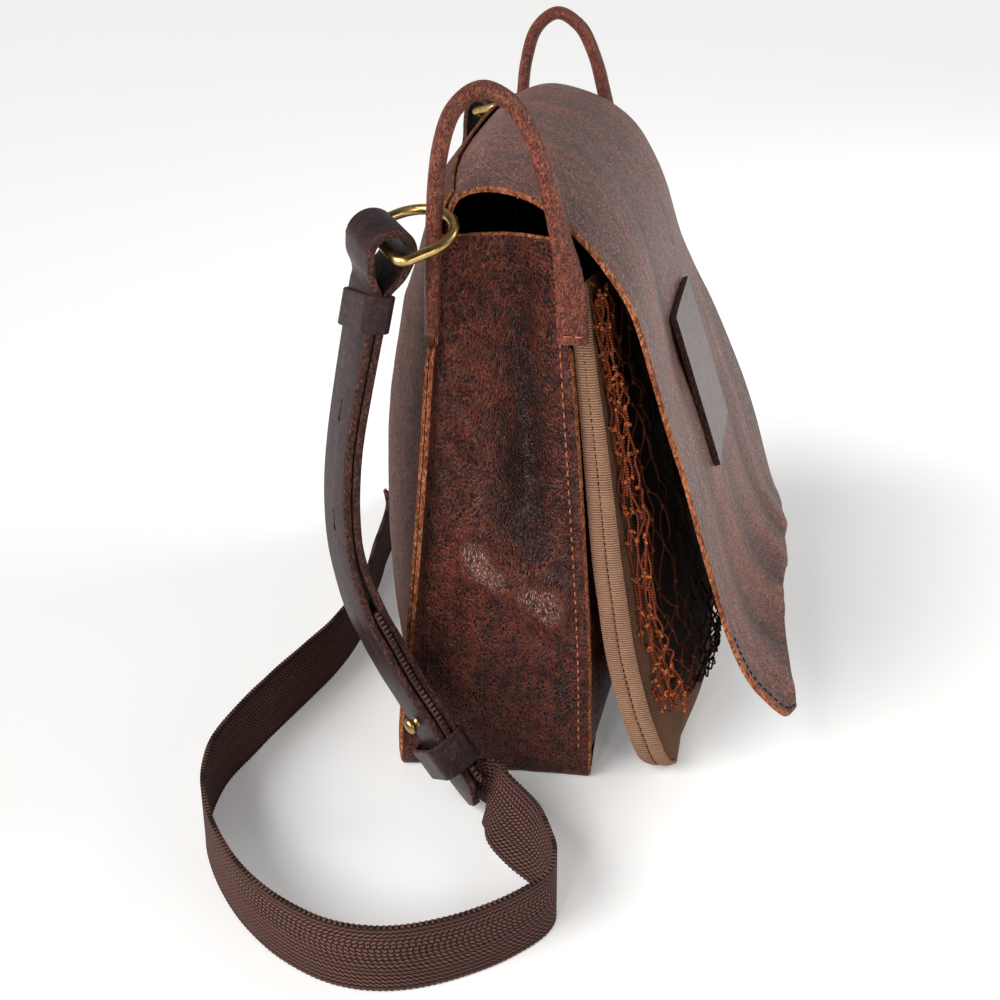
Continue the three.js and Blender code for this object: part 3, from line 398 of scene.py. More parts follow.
def cloth(name, look):
    dark, mid, light = look["tones"].split()
    made, add = newMaterial(name)
    coords = add("TexCoord")
    mm = add("VectorMath", toMm, {0: coords.outputs["Object"]})
    flat = add("VectorMath", toMm, {0: coords.outputs["UV"]})
    fuzz = add("TexNoise", {"Scale": yarn["fuzz"], "Detail": 4.0}, {"Vector": mm})
    winding = {"operation": "MULTIPLY_ADD", 1: (look["uneven"],) * 3}
    uneven = add("VectorMath", winding, {0: fuzz.outputs["Color"], 2: flat})
    sides = add("SeparateXYZ", None, {0: uneven}).outputs
    wide, tall = look["pitch"]
    if look["kind"] == "bricks":
        turned = add("CombineXYZ", None, {0: sides["Y"], 1: sides["X"]})
        laid = {
            "Scale": 1.0, "Brick Width": tall, "Row Height": wide,
            "Mortar Size": look["slot"], "Mortar Smooth": 1.0,
        }
        bricks = add("TexBrick", laid, {"Vector": turned})
        weave = add("MapRange", yarn["slots"], {0: bricks.outputs["Fac"]})
    else:
        waves = []
        for side, pitch in zip(sides, look["pitch"]):
            turn = add("Math", {**times, 1: 2 * math.pi / pitch}, {0: side})
            waves.append(add("Math", {"operation": "SINE"}, {0: turn}))
        over = waves[1]
        if look["kind"] == "crossed":
            over = add("Math", times, {0: waves[0], 1: over})
        weave = add("MapRange", look["weave"], {0: over})
    blotch = add("TexNoise", {"Scale": 1 / look["blotch"], "Detail": 5.0}, {"Vector": mm})
    worn = add("MapRange", yarn["worn"], {0: blotch})
    ground = add("Mix", {**tinted, 6: dark, 7: mid}, {0: worn})
    lit = add("Math", {**times, 1: look["tops"]}, {0: weave})
    colour = add("Mix", {**tinted, 7: light}, {0: lit, 6: ground})
    # Painted shade: darker further into the bag along x, and only above a height where one is given.
    if "deep" in look:
        deep = look["deep"]
        part = add("SeparateXYZ", None, {0: mm}).outputs
        shadeInward = add("MapRange", deep["shadeInward"], {0: part["X"]})
        if "shadeUpward" in deep:
            shadeUpward = add("MapRange", deep["shadeUpward"], {0: part["Z"]})
            shadeInward = add("Math", times, {0: shadeInward, 1: shadeUpward})
        colour = add("Mix", {**tinted, 7: deep["colour"]}, {0: shadeInward, 6: colour})
    height = add("Math", {"operation": "MULTIPLY_ADD", 1: yarn["hairy"]}, {0: fuzz, 2: weave})
    bump = add("Bump", {"Strength": 1.0, "Distance": look["depth"] / 1000}, {"Height": height})
    finish = {
        "Roughness": 0.9, "Specular IOR Level": 0.2,
        "Sheen Weight": look["haze"], "Sheen Roughness": 0.5, "Sheen Tint": light,
    }
    close(add, finish, {"Base Color": colour, "Normal": bump})
    return made


# Tones are the dark and middle of the yarn and its lit tops. Pitch and blotch are in mm.
# Waxed cotton of the pocket: a close weave, drawn coarser than life, that reads as a soft brown nap and is
# darkened by painted shade where the net hangs over it.
canvasCloth = cloth("waxed_canvas", {
    "tones": "#4d3325 #654634 #805d48", "pitch": (2.4, 2.4), "kind": "crossed", "weave": (-0.8, 1.0),
    "tops": 0.35, "uneven": 1.6, "blotch": 18, "depth": 0.25, "haze": 0.1,
    "deep": {"colour": "#150c08", "shadeInward": (-149, -140), "shadeUpward": (40, 52)},
})
# Grosgrain tape round the pocket: ribs across its length, drawn coarser than life.
tapeCloth = cloth("grosgrain_tape", {
    "tones": "#5e402e #775440 #b48b70", "pitch": (2.0, 1.45), "kind": "ribbed", "weave": (-0.9, 1.0),
    "tops": 0.75, "uneven": 0.7, "blotch": 14, "depth": 0.45, "haze": 0.1,
})
# Shoulder webbing: fat warp cords that show as bricks of pebbles, their tops a painted highlight and the
# dark slots between them painted shade.
webbingCloth = cloth("cotton_webbing", {
    "tones": "#150b09 #1e110d #66443c", "pitch": (2.3, 3.0), "kind": "bricks", "slot": 0.7, "tops": 1.0,
    "uneven": 0.35, "blotch": 30, "depth": 0.8, "haze": 0.05,
})
# Net cord: twisted rust-coloured strands with lit tops, brighter at the near end and darkened further in
# by painted shade.
twisted = {
    "tones": "#300e06 #5e2110 #a8532c", "pitch": (3.0, 1.6), "kind": "ribbed", "weave": (-0.9, 1.0),
    "tops": 0.6, "uneven": 0.4, "blotch": 4, "depth": 0.3, "haze": 0.05,
    "deep": {"colour": "#1c0804", "shadeInward": (-152, -122)},
}
netCloth = cloth("twisted_cord", twisted)
# Knots of the net: the same cord in brighter tones, a painted highlight where it stands out.
litKnotCloth = cloth("lit_knotted_cord", {**twisted, "tones": "#501c0c #8a3c1a #dc8049"})
# Sewing thread: waxed rust-coloured stitches.
waxed = {
    "tones": "#8a4a2e #a9623f #d8946c", "pitch": (0.8, 0.8), "kind": "ribbed", "weave": (-0.5, 1.0),
    "tops": 0.6, "uneven": 0.2, "blotch": 5, "depth": 0.1, "haze": 0.0,
}
threadCloth = cloth("waxed_thread", waxed)
# Dark thread sunk in the tape and along the flap's edge.
darkThread = cloth("dark_thread", {**waxed, "tones": "#140b07 #1f130d #3a281e", "tops": 0.5, "blotch": 6})


# Polished brass with hairline wear that breaks up its highlights.
def brassMetal():
    made, add = newMaterial("polished_brass")
    mm = add("VectorMath", toMm, {0: add("TexCoord").outputs["Object"]})
    tarnish = add("TexNoise", {"Scale": 0.25, "Detail": 5.0}, {"Vector": mm})
    colour = add("Mix", {**tinted, 6: "#8a6832", 7: "#dcbe80"}, {0: tarnish})
    rough = add("MapRange", {"To Min": 0.18, "To Max": 0.4}, {0: tarnish})
    fine = add("TexNoise", {"Scale": 1.6, "Detail": 4.0}, {"Vector": mm})
    bump = add("Bump", {"Strength": 0.4, "Distance": 0.0001}, {"Height": fine})
    close(add, {"Metallic": 1.0}, {"Base Color": colour, "Roughness": rough, "Normal": bump})
    return made


brass = brassMetal()
print("stage: materials")

# Straps: a leather strap's frame at places in its table. end is 1 for the near strap and -1 for the far.
strapColumns = "x y z turn apart part"
nearStrapRows = [
    (-189.2, 57.1, 319, 36, 22.6, 0.95), (-189, 59.9, 309, 36, 17, 0.97),
    (-188.5, 62.5, 300.5, 36, 5.6, 1), (-188.3, 63.9, 295, 36, 5.2, 1),
    (-187.7, 67.2, 280.3, 35, 5.1, 1), (-186.9, 75.1, 242.7, 33, 5.1, 1),
    (-186.9, 80.3, 214.5, 32, 5.1, 1), (-187.4, 82.9, 191.6, 33, 5.1, 1),
    (-188.1, 83.6, 173.9, 34, 5.1, 1), (-189.2, 82.8, 155.6, 35, 5.2, 1),
    (-190.8, 79.4, 138.2, 37, 6.2, 1), (-192.7, 71.7, 115.1, 40, 8.4, 1),
    (-194.5, 62.6, 97.6, 42, 9.2, 1), (-196.4, 53.4, 80.7, 42, 9.4, 1), (-198.5, 46, 69.2, 42, 9.2, 1),
    (-200.5, 38.3, 57.2, 43, 9, 1), (-202.7, 30.1, 44.1, 44, 8.8, 1), (-205.4, 18.5, 28.3, 44, 8.8, 1),
]
strapTip = [(-207.7, 10.7, 16.4, 40, 9.2, 0.92), (-210, 5.4, 9.4, 38, 10, 0.4)]
farStrapRows = [
    (190.2, 57.1, 319, 144, 22.6, 0.95), (190, 59.9, 309, 144, 17, 0.97), (189.6, 63, 299, 144, 9, 1),
    (189.4, 66.6, 288, 144, 8, 1), (190, 72, 262, 144, 8, 1), (193, 79, 230, 142, 8, 1),
    (198, 85, 200, 138, 8, 1),
]
strapSize = {"width": 32, "leather": 4.5, "corner": 1.1, "fold": 75}


def strapFrame(rows, spots, end):
    along = heading(rows, spots)
    turn = np.radians(value(rows, "turn", spots))
    across = np.stack([np.cos(turn), np.sin(turn), np.zeros_like(turn)], -1)
    across = unit(across - along * np.sum(across * along, -1, keepdims=True))
    outer = unit(-end * np.cross(along, across))
    return line(rows, spots), along, across, outer


# Webbing: its middle line and the lean of its upper edge, from inside the near strap to inside the far one.
webbing = {
    "width": 38, "thick": 2.5, "near": 120, "far": 263, "weft": 2.9, "scallop": 0.35, "inset": 0.4,
    "slack": ((0.5, 26, 3),), "clear": 0.05,
    "route": [
        (-207.4, 9.4, 17.6, -0.7, -0.42), (-213, 0.5, 17.6, -0.3, -0.42), (-223, -4.5, 18.5, 0.08, -0.3),
        (-236, -12, 17.8, 0.28, -0.42), (-250, -22.5, 17.8, 0.26, -0.42), (-268, -34.5, 19, 0.06, -0.2),
        (-288, -43.5, 19.3, 0, 0), (-307, -40, 19.3, 0, 0), (-328.5, -21, 19.3, 0, 0),
        (-345.5, 4, 19.3, 0, 0), (-355, 32, 19.3, 0, 0), (-352.5, 61, 19.3, 0, 0),
        (-337, 90, 19.3, 0, 0), (-312, 117, 19.3, 0, 0), (-280, 139, 19.3, 0, 0),
        (-245, 154, 19.3, 0, 0), (-208, 158, 19.3, 0, 0.03), (-165, 150, 19.3, 0, 0.1),
        (-120, 138, 19.3, 0, 0.1), (-70, 124, 19.3, 0, 0.05), (-15, 118, 19.3, 0, 0),
        (50, 122, 19.3, 0, 0), (112, 126, 19.3, 0, 0.04), (150, 127, 17.2, 0, 0.56),
        (182, 125, 9.6, 0, 0.93), (207, 120, 10, -0.09, 0.99), (222, 114, 28, -0.21, 0.98),
        (223, 107, 62, -0.34, 0.94), (215, 100, 112, -0.5, 0.87), (206, 92, 160, -0.64, 0.77),
    ],
}


def webbingEnds(rows, end, highest):
    centre, _, across, _ = strapFrame(table(strapColumns, rows), np.arange(len(rows), dtype=float), end)
    return [(*c, -end * a[0], -end * a[1]) for c, a in zip(centre, across) if c[2] < highest]


def makeWebbing():
    near = webbingEnds(nearStrapRows, 1, webbing["near"])
    far = webbingEnds(farStrapRows, -1, webbing["far"])
    route = [*near, *webbing["route"], *far[::-1]]
    rows = table("x y z leanX leanY", route)
    coarse = np.linspace(0, len(route) - 1, 3000)
    run = lengths(line(rows, coarse), 0)
    total = run[-1]
    places = np.arange(0, total, webbing["weft"] / 4)
    spots = np.interp(places, run, coarse)
    centre = line(rows, spots)
    along = heading(rows, spots)
    lean = line(rows, spots, "leanX leanY")
    up = np.sqrt(np.maximum(1 - np.sum(lean**2, -1), 0))
    across = np.concatenate([lean, up[:, None]], -1)
    across = unit(across - along * np.sum(across * along, -1, keepdims=True))
    face = np.cross(along, across)
    shares = np.linspace(-1, 1, 15)
    scallop = webbing["scallop"] * np.cos(2 * np.pi * places / webbing["weft"])
    reach = shares[None, :] * (webbing["width"] / 2 - webbing["inset"])
    reach = reach + np.sign(shares) * np.abs(shares) ** 12 * scallop[:, None]
    grid = centre[:, None] + across[:, None] * reach[..., None]
    slack = creases(grid, webbing["slack"]) * np.abs(shares) ** 2
    grid = grid + face[:, None] * slack[..., None]
    band = wall(grid, webbing["thick"], roll=0.12, lowest=webbing["clear"])
    made = piece("webbing_band", band, [webbingCloth], "webbing", "webbing", sharp=60)
    print("webbing length", round(float(total), 1))


makeWebbing()
print("stage: webbing")

# Body rows from the base up: length is the end's distance from the middle, lean turns its outward direction
# down, dent sinks the gusset's middle, lip and tilt are the back seam's raw edge, edge the front seam's.
body = table(
    "length z lean half dent lip tilt edge back front",
    [
        (164, 1, 90, 48, 0, 10, 90, 4.5, 3, 2), (168.24, 2.76, 45, 48, 0, 12, 84, 4.5, 6, 6),
        (170, 17, 0, 48, -1, 12, 66, 4.5, 12, 11), (170, 40, 0, 47.5, -3, 12, 50, 4.5, 20, 16),
        (170, 86, 0, 46, -4, 10, 28, 4.5, 31, 19), (170, 146, 0, 42, -3, 9, 16, 4.5, 38, 17),
        (170, 205, 0, 37.5, 6, 8.5, 12, 4.5, 40, 13), (170, 257, 0, 33.5, 11, 8, 12, 3.5, 35, 7),
        (170, 266, 0, 33, 12, 1, 12, 1, 33, 6), (170, 296, 0, 31.5, 12, 1, 12, 1, 24, 4),
        (170, 320, 0, 30, 9, 1, 12, 1, 15, 3),
    ],
)
bodySize = {"base": 164, "end": 170, "rounded": 2, "top": 10}
seamSize = {"leather": 2.0, "step": 2.5}


# Stations on the gusset's path, up one end or along the base.
def stations(spots, end, x=None):
    lean = np.radians(value(body, "lean", spots))
    out = np.stack([end * np.cos(lean), 0 * lean, -np.sin(lean)], -1)
    middle = np.stack([end * value(body, "length", spots), 0 * lean, value(body, "z", spots)], -1)
    if x is not None:
        middle[:, 0] = x
    return spots, middle, out


def wholePath():
    rounded, top = bodySize["rounded"], bodySize["top"]
    rise = np.concatenate([np.linspace(0, rounded, 14)[1:], np.linspace(rounded, top, 118)[1:]])
    base = np.linspace(-bodySize["base"], bodySize["base"], 90)
    near = stations(rise[::-1], -1)
    flat = stations(np.zeros_like(base), 1, base)
    far = stations(rise, 1)
    return [np.concatenate(parts) for parts in zip(near, flat, far)]


# A seam's root, the directions of its raw edge and of its stacked layers, and the edge's width.
def seam(path, side):
    spots, middle, out = path
    backward = np.array([0.0, 1.0, 0.0])
    root = middle + side * backward * value(body, "half", spots)[:, None]
    if side < 0:
        return root, np.tile(-backward, (len(root), 1)), -out, value(body, "edge", spots)
    tilt = np.radians(value(body, "tilt", spots))[:, None]
    edge = out * np.cos(tilt) + backward * np.sin(tilt)
    stack = -out * np.sin(tilt) + backward * np.cos(tilt)
    return root, edge, stack, value(body, "lip", spots)


def seamLine(ownSeam, layer, share):
    root, edge, stack, width = ownSeam
    return root + stack * layer * seamSize["step"] + edge * (share * width)[:, None]


# Gusset: creased hide with a long hollow towards the front and swellings under it. Each row of dents is its
# share across the end, its height, its reach both ways and its depth, with swellings below zero.
gusset = {
    "dents": (
        (-0.34, 188, 0.3, 46, 11.0), (-0.3, 262, 0.22, 40, 5.0), (-0.66, 112, 0.2, 12, -6.0),
        (-0.38, 122, 0.24, 13, -6.0), (0.02, 131, 0.22, 12, -4.5), (0.34, 142, 0.24, 13, -5.0),
        (0.4, 238, 0.4, 56, -2.6), (-0.1, 60, 0.5, 26, 3.0), (0.45, 70, 0.35, 22, -2.0),
    ),
    "folds": ((1.8, (90, 90, 144), 11), (1.0, (38, 38, 60.8), 12)), "puckers": ((0.5, (14, 9, 26), 13),),
    "rubbed": 8.0, "bevel": 1.2, "clear": 0.02,
}


def gussetGrid(path):
    spots, middle, out = path
    shares = np.linspace(-1, 1, 41)
    free = np.cos(shares * np.pi / 2)[None, :].clip(0)
    held = free**0.5
    sink = value(body, "dent", spots)[:, None] * free**1.5
    grid = np.repeat(middle[:, None], len(shares), 1)
    grid[:, :, 1] += shares[None, :] * value(body, "half", spots)[:, None]
    upright = np.abs(out[:, :1])
    creased = np.zeros_like(sink)
    for share, z, wide, tall, deep in gusset["dents"]:
        creased += deep * bell(shares[None, :], share, wide) * bell(grid[:, :, 2], z, tall) * upright
    creased += (creases(grid, gusset["folds"]) * upright + creases(grid, gusset["puckers"])) * held
    grid = grid - out[:, None] * (sink + creased * held)[..., None]
    edges = [seamLine(seam(path, -1), 0, f) for f in (1.0, 0.5)]
    lips = [seamLine(seam(path, 1), 0, f) for f in (0.33, 0.66, 1.0)]
    # Worn from the dents: swellings rubbed lighter with a painted glint, hollows darkened by painted shade.
    worn = np.pad(np.clip(-creased / gusset["rubbed"], -0.8, 0.6), ((0, 0), (len(edges), len(lips))))
    return np.concatenate([np.stack(edges, 1), grid, np.stack(lips, 1)], 1), worn


path = wholePath()
grid, worn = gussetGrid(path)
strip = wall(grid[:, ::-1], seamSize["leather"], gusset["bevel"], lowest=gusset["clear"])
hideSides = [bodyLeather, insideLeather, rawEdge]
piece("gusset_strip", strip, hideSides, "body_leather", "gusset", worn=worn[:, ::-1])
print("stage: gusset")

# Panels: the main sheet swells from its seam, and its raw edge runs along the gusset's.
shoulder = table("z y swell rise half", [(333, 30.2, 12, 5, 160.5), (340, 25.6, 9, 8, 160)])
panels = {"folds": ((1.4, (70, 60, 45), 21), (0.5, (24, 24, 16), 22)), "bevel": 0.3}


def panel(name, node, side, swell, face, wrinkle):
    rounded, top = bodySize["rounded"], bodySize["top"]
    spots = np.concatenate([np.linspace(0, rounded, 10)[:-1], np.linspace(rounded, top, 92)])
    left, right = (seamLine(seam(stations(spots, end), side), 1, 0) for end in (-1, 1))
    shares = np.linspace(-1, 1, 92)
    full = fullness(shares)[None, :]
    share = (shares[None, :, None] + 1) / 2
    grid = left[:, None] * (1 - share) + right[:, None] * share
    grid[:, :, 1] += side * value(body, swell, spots)[:, None] * full
    if side > 0:
        over = np.linspace(0, 1, 7)[:, None] * np.ones_like(shares)[None, :]
        z, y, out, rise, half = values(shoulder, over, "z y swell rise half")
        cap = np.stack([shares[None, :] * half, y + out * full, z + rise * full], -1)
        grid = np.concatenate([grid, cap])
    grid[:, :, 1] += side * (wrinkle * creases(grid, panels["folds"]) * full**0.6)
    if side < 0:
        grid = grid[:, ::-1]
    flange = np.stack([seamLine(seam(path, side), 1, f) for f in np.linspace(0, 1, 4)], 1)
    both = joined(wall(grid, seamSize["leather"]), wall(flange, seamSize["leather"], panels["bevel"]))
    piece(name, both, [face, insideLeather, rawEdge], "body_leather", node)


panel("back_sheet", "back_panel", 1, "back", backLeather, 1.0)
panel("front_sheet", "front_panel", -1, "front", bodyLeather, 0.4)
print("stage: panels")

# Flap: one sheet from under the back panel over the top and down the front, with soft folds down it.
# Each fold is its place along the bag, width, height and the rows where it starts and stops.
flap = {
    "leather": 2.8, "bevel": 0.6, "rubbed": 1.8, "sewn": 164, "hem": (134, 168), "wave": (280, 10),
    "puckers": ((0.35, (16, 40, 60), 31),), "lean": (4, 14), "plate": (60, 11.8, 2.2),
    "rows": [
        (30.4, 300, 22, 0, 0, 0, 158), (29, 320, 15, 2, 0, 0, 159), (26.4, 332, 12, 5, 0, 0, 162),
        (20, 339.5, 8, 9, 0, 0, 167), (8, 343, 4, 12, 0, 0, 169), (-8, 341, 0, 12, 0, 0, 169),
        (-23, 334, -4, 11, -5, 0, 169), (-36.5, 322, -6.5, 9, -9, 0.5, 169),
        (-50, 307, -6, 7, -7.5, 1, 169), (-65.5, 283, -4.5, 5, -4.5, 1.5, 169),
        (-77, 249, -4, 2, -5, 2, 169), (-86, 221, -2.5, 0, -9, 2, 169),
        (-96.6, 193, -1.5, 0, -13, 1, 170), (-107.5, 160, -0.5, 0, -17.5, 0, 170),
        (-117, 130, 0, 0, -21, 0, 170), (-126.5, 100, -1, 0, -22.5, 0.5, 170),
        (-137, 76, -2, 1, -20, 2, 170), (-148, 61.5, -3.5, 2.5, -14, 3, 169),
        (-159.5, 51, -4, 5, -6, 3, 166), (-166.5, 48, 0, 6, -2, 2.5, 153),
    ],
    "folds": (
        (-120, 10, 0.9, 8, 19), (-78, 14, -1.2, 7, 17), (-30, 12, 1.0, 9, 19), (5, 9, -0.8, 11, 19),
        (40, 14, 1.3, 10, 19), (78, 11, -1.0, 11, 19), (104, 9, 0.9, 12, 19), (131, 10, -0.7, 10, 19),
    ),
}
flapTable = table("y z swell rise flare wave half", flap["rows"])


def flapPoint(spots, shares):
    full = fullness(shares)
    span, start = flap["wave"]
    y, z, swell, rise, flare, wave, half = values(flapTable, spots, "y z swell rise flare wave half")
    x = shares * half
    y = y + swell * full + flare * ((shares + 1) / 2) ** 2 - wave * np.sin(2 * np.pi * (x - start) / span)
    return np.stack([x, y, z + rise * full], -1)


# The folds lean across the bag as they fall, and lie flat under the plate.
def flapLift(spots, grid):
    slant, level = flap["lean"]
    plateWidth, plateRow, plateRows = flap["plate"]
    lift = creases(grid, flap["puckers"])
    for x, wide, deep, start, stop in flap["folds"]:
        inside = np.clip((spots - start) / 3, 0, 1) * np.clip((stop + 1.5 - spots) / 1.5, 0, 1)
        lift += deep * inside * bell(grid[..., 0] + slant * (spots - level), x, wide)
    return lift * (1 - bell(grid[..., 0], 0, plateWidth) * bell(spots, plateRow, plateRows))


def makeFlap():
    spots, shares = np.meshgrid(np.linspace(0, 19, 170), np.linspace(-1, 1, 130), indexing="ij")
    grid = flapPoint(spots, shares)
    lift = flapLift(spots, grid)
    normals = gridNormals(grid)
    grid = grid + normals * lift[..., None]
    sheet = wall(grid, flap["leather"], flap["bevel"])
    # Worn from the folds: fold tops rubbed lighter with a painted glint, valleys darkened by painted shade.
    worn = np.clip(lift / flap["rubbed"], -0.6, 0.5)
    flapSides = [flapLeather, insideLeather, rawEdge]
    made = piece("flap_sheet", sheet, flapSides, "flap_leather", "flap", worn=worn)
    sheetOf(grid)
    column = int(np.argmin(np.abs(grid[140, :, 0] + flap["sewn"])))
    hem = slice(*flap["hem"])
    return (grid + normals * (flap["leather"] / 2))[hem, column], normals[hem, column]


flapHem = makeFlap()

# The thick plain plate sewn to the flap.
patch = {"half": 46.5, "top": 10.26, "bottom": 13.32, "leather": 3.8, "lift": 4.0}


def makePatch():
    down = np.linspace(patch["top"], patch["bottom"], 44)
    across = np.linspace(-1, 1, 34) * patch["half"] / bodySize["end"]
    spots, shares = np.meshgrid(down, across, indexing="ij")
    grid = flapPoint(spots, shares)
    fall = np.linspace(0, 1, len(grid))[:, None, None]
    grid = grid[:1] * (1 - fall) + grid[-1:] * fall
    grid = grid + gridNormals(grid) * patch["lift"]
    plate = wall(grid, patch["leather"], 0.15, 0.05)
    piece("flap_plate", plate, [patchFace, insideLeather, strapEdge], "patch_leather", "flap_patch")


makePatch()
print("stage: flap")

# Canvas pocket: back is its back sheet's place at the ends, strip the bound edge's depth, belly its depth
# inside.
pocket = {
    "half": 162, "corner": 20, "base": 3.5, "canvas": 1.4, "tape": 2.2, "gap": 0.5, "over": 1.2,
    "clear": 0.1,
    "sag": ((0.8, (60, 60, 40), 41), (0.35, (18, 18, 24), 42)), "rumpled": ((0.3, 16, 43),),
}
pocketTable = table(
    "z back strip swell belly",
    [
        (3.5, -88, 13, 0, 16), (13, -82, 14, 1, 30), (30, -75, 14, 4, 41), (49, -68.5, 14, 7, 43),
        (82, -60.5, 13.5, 12, 35), (113, -55.5, 13, 14, 27), (144, -51, 12.5, 14, 21),
        (203, -45, 10, 12, 15), (259, -39, 7, 8, 13), (296, -36, 5, 6, 11),
    ],
)


def pocketReach(z):
    below = np.maximum(pocket["base"] + pocket["corner"] - z, 0)
    return pocket["half"] - pocket["corner"] + np.sqrt(np.maximum(pocket["corner"] ** 2 - below**2, 0))


# Where the back sheet hangs, and the pocket's depth before it.
def pocketDepth(spots, full):
    back, swell, strip, belly = values(pocketTable, spots, "back swell strip belly")
    return back - swell * full, strip + (belly - strip) * full


def pocketSheet(name, node, isFront):
    rise = np.concatenate([np.linspace(0, 2, 22)[:-1], np.linspace(2, 9, 70)])
    spots, shares = np.meshgrid(rise, np.linspace(-1, 1, 110), indexing="ij")
    full = fullness(shares)
    z = value(pocketTable, "z", spots)
    back, depth = pocketDepth(spots, full)
    grid = np.stack([shares * pocketReach(z), back - depth if isFront else back, z], -1)
    grid[..., 1] += creases(grid, pocket["sag"]) * full**0.5
    made = piece(name, wall(grid, pocket["canvas"]), [canvasCloth], "canvas", node)
    sheetOf(grid)


# The tape follows the pocket's outline, up both ends and along its foot, with a groove where it is sewn.
def pocketBinding():
    rise = np.concatenate([np.linspace(0, 2, 26)[1:-1], np.linspace(2, 9, 110)])
    flat = np.linspace(-1, 1, 120)
    spots = np.concatenate([rise[::-1], 0 * flat, rise])
    shares = np.concatenate([-np.ones_like(rise), flat, np.ones_like(rise)])
    z = value(pocketTable, "z", spots)
    back, depth = pocketDepth(spots, fullness(shares))
    turn = np.arccos(np.clip((pocket["base"] + pocket["corner"] - z) / pocket["corner"], 0, 1))
    turn = np.where(np.abs(shares) < 1, 0, turn)
    out = np.stack([np.sign(shares) * np.sin(turn), 0 * turn, -np.cos(turn)], -1)
    offset = (pocket["canvas"] + pocket["tape"]) / 2 + pocket["gap"]
    centre = np.stack([shares * pocketReach(z), back - depth / 2, z], -1) + out * offset
    columns = np.linspace(-1, 1, 17)
    bulge = 0.9 * (1 - columns**2) - 1.3 * bell(columns, 0, 0.13) - 0.7 * columns**6
    grid = centre[:, None] + out[:, None] * bulge[None, :, None]
    grid[:, :, 1] -= columns[None, :] * (depth + 2 * pocket["over"])[:, None] / 2
    grid = grid + out[:, None] * creases(grid, pocket["rumpled"])[..., None]
    grid[:, :, 2] = np.maximum(grid[:, :, 2], pocket["tape"] / 2 + pocket["clear"])
    tape = wall(grid[:, ::-1], pocket["tape"])
    piece("pocket_tape", tape, [tapeCloth], "binding_tape", "pocket_binding")
    return centre + out * (bulge[8] + pocket["tape"] / 2), out


pocketSheet("pocket_back_sheet", "pocket_back", False)
pocketSheet("pocket_front_sheet", "pocket_front", True)
tapeLine, tapeOut = pocketBinding()
print("stage: pocket")

# Net: tall knotted meshes of twisted cord, gathered into a bunch of knots and slack loops along each end.
net = {
    "half": 148, "across": 74, "down": 18, "cord": 0.6, "sides": 5, "knot": 1.1, "slack": 1.5,
    "stray": (1.2, 1.4, 2.0), "bunch": 13, "strands": 5, "near": 158, "clear": 1.4, "hem": -4.0,
    "low": 14,
}
netTable = table(
    "z edge front",
    [
        (290, -52, -59), (255, -57, -70), (227, -61, -81), (193, -66, -94), (157, -72, -104),
        (107, -81, -117), (78, -88, -124), (56, -94, -127), (42, -98, -125),
    ],
)
netRows = len(netTable["z"]) - 1


def netPoint(i, j):
    share = 2 * i / net["across"] - 1
    edge, front, z = values(netTable, j / net["down"] * netRows, "edge front z")
    return np.array([share * net["half"], edge + (front - edge) * fullness(share), z])


def cordRings(points, radius, sides):
    along = unit(np.gradient(points, axis=0))
    side = unit(np.cross(along, np.array([0.31, 0.83, 0.46])))
    other = np.cross(along, side)
    angle = circle(sides)[None, :, None]
    ring = side[:, None] * np.cos(angle) + other[:, None] * np.sin(angle)
    return points[:, None] + ring * np.reshape(radius, (-1, 1, 1))


# A slack cord between two knots, bowed by the given vector.
def slackCord(start, stop, bow, steps=7):
    f = np.linspace(0, 1, steps)[:, None]
    points = start + (stop - start) * f + bow * np.sin(np.pi * f)
    points = points + rng.normal(0, 0.5, 3) * np.sin(2 * np.pi * f)
    return loft(cordRings(points, net["cord"], net["sides"]))


def knot(centre, size):
    f = np.linspace(-0.5, 0.5, 5)[:, None]
    wide = size * np.array([0.5, 1.0, 0.8, 1.05, 0.5])
    points = centre + f * unit(rng.normal(0, 1, 3)) * size * 2.6
    return loft(cordRings(points, wide, net["sides"]), False, np.ones(net["sides"], int))


# The pocket's front sheet, where the bunch hangs before it.
def pocketFace(x, z):
    spot = np.interp(z, pocketTable["z"], np.arange(len(pocketTable["z"])))
    back, depth = pocketDepth(spot, fullness(min(abs(x) / pocketReach(z), 1)))
    return back - depth


# Places of the bunch's strands at one height, from the pocket outwards. The bunch widens as it falls.
def bunchAt(end, j):
    spot = min(j / net["down"] * netRows, netRows)
    wide = net["bunch"] * (0.5 + 0.5 * min(j / 6, 1) + 0.5 * max(j - 12, 0) / 6)
    spots = []
    for k in range(net["strands"]):
        x = end * (net["near"] - rng.uniform(0, 4))
        z = value(netTable, "z", spot) + rng.normal(0, 2.4)
        y = pocketFace(x, z) - net["clear"] - wide * (k + rng.uniform(0, 1)) / net["strands"]
        spots.append(np.array([x, y, z]))
    return spots


def meshes():
    across, down = net["across"], net["down"]
    places = [(i, j) for i in range(across + 1) for j in range(down + 1) if (i + j) % 2 == 0]
    knots = {at: netPoint(*at) + rng.normal(0, 1.0, 3) * net["stray"] for at in places}
    parts = []
    for (i, j), here in knots.items():
        for side in (-1, 1):
            there = knots.get((i + side, j + 1))
            if there is not None:
                parts.append(slackCord(here, there, rng.normal(0, net["slack"], 3)))
        parts.append(knot(here, net["knot"]))
        if j == down and 3 < i < across - 5:
            hang = np.array([0, 0, net["hem"]]) + rng.normal(0, 1, 3)
            parts.append(slackCord(here, knots[i + 2, j], hang))
    return parts


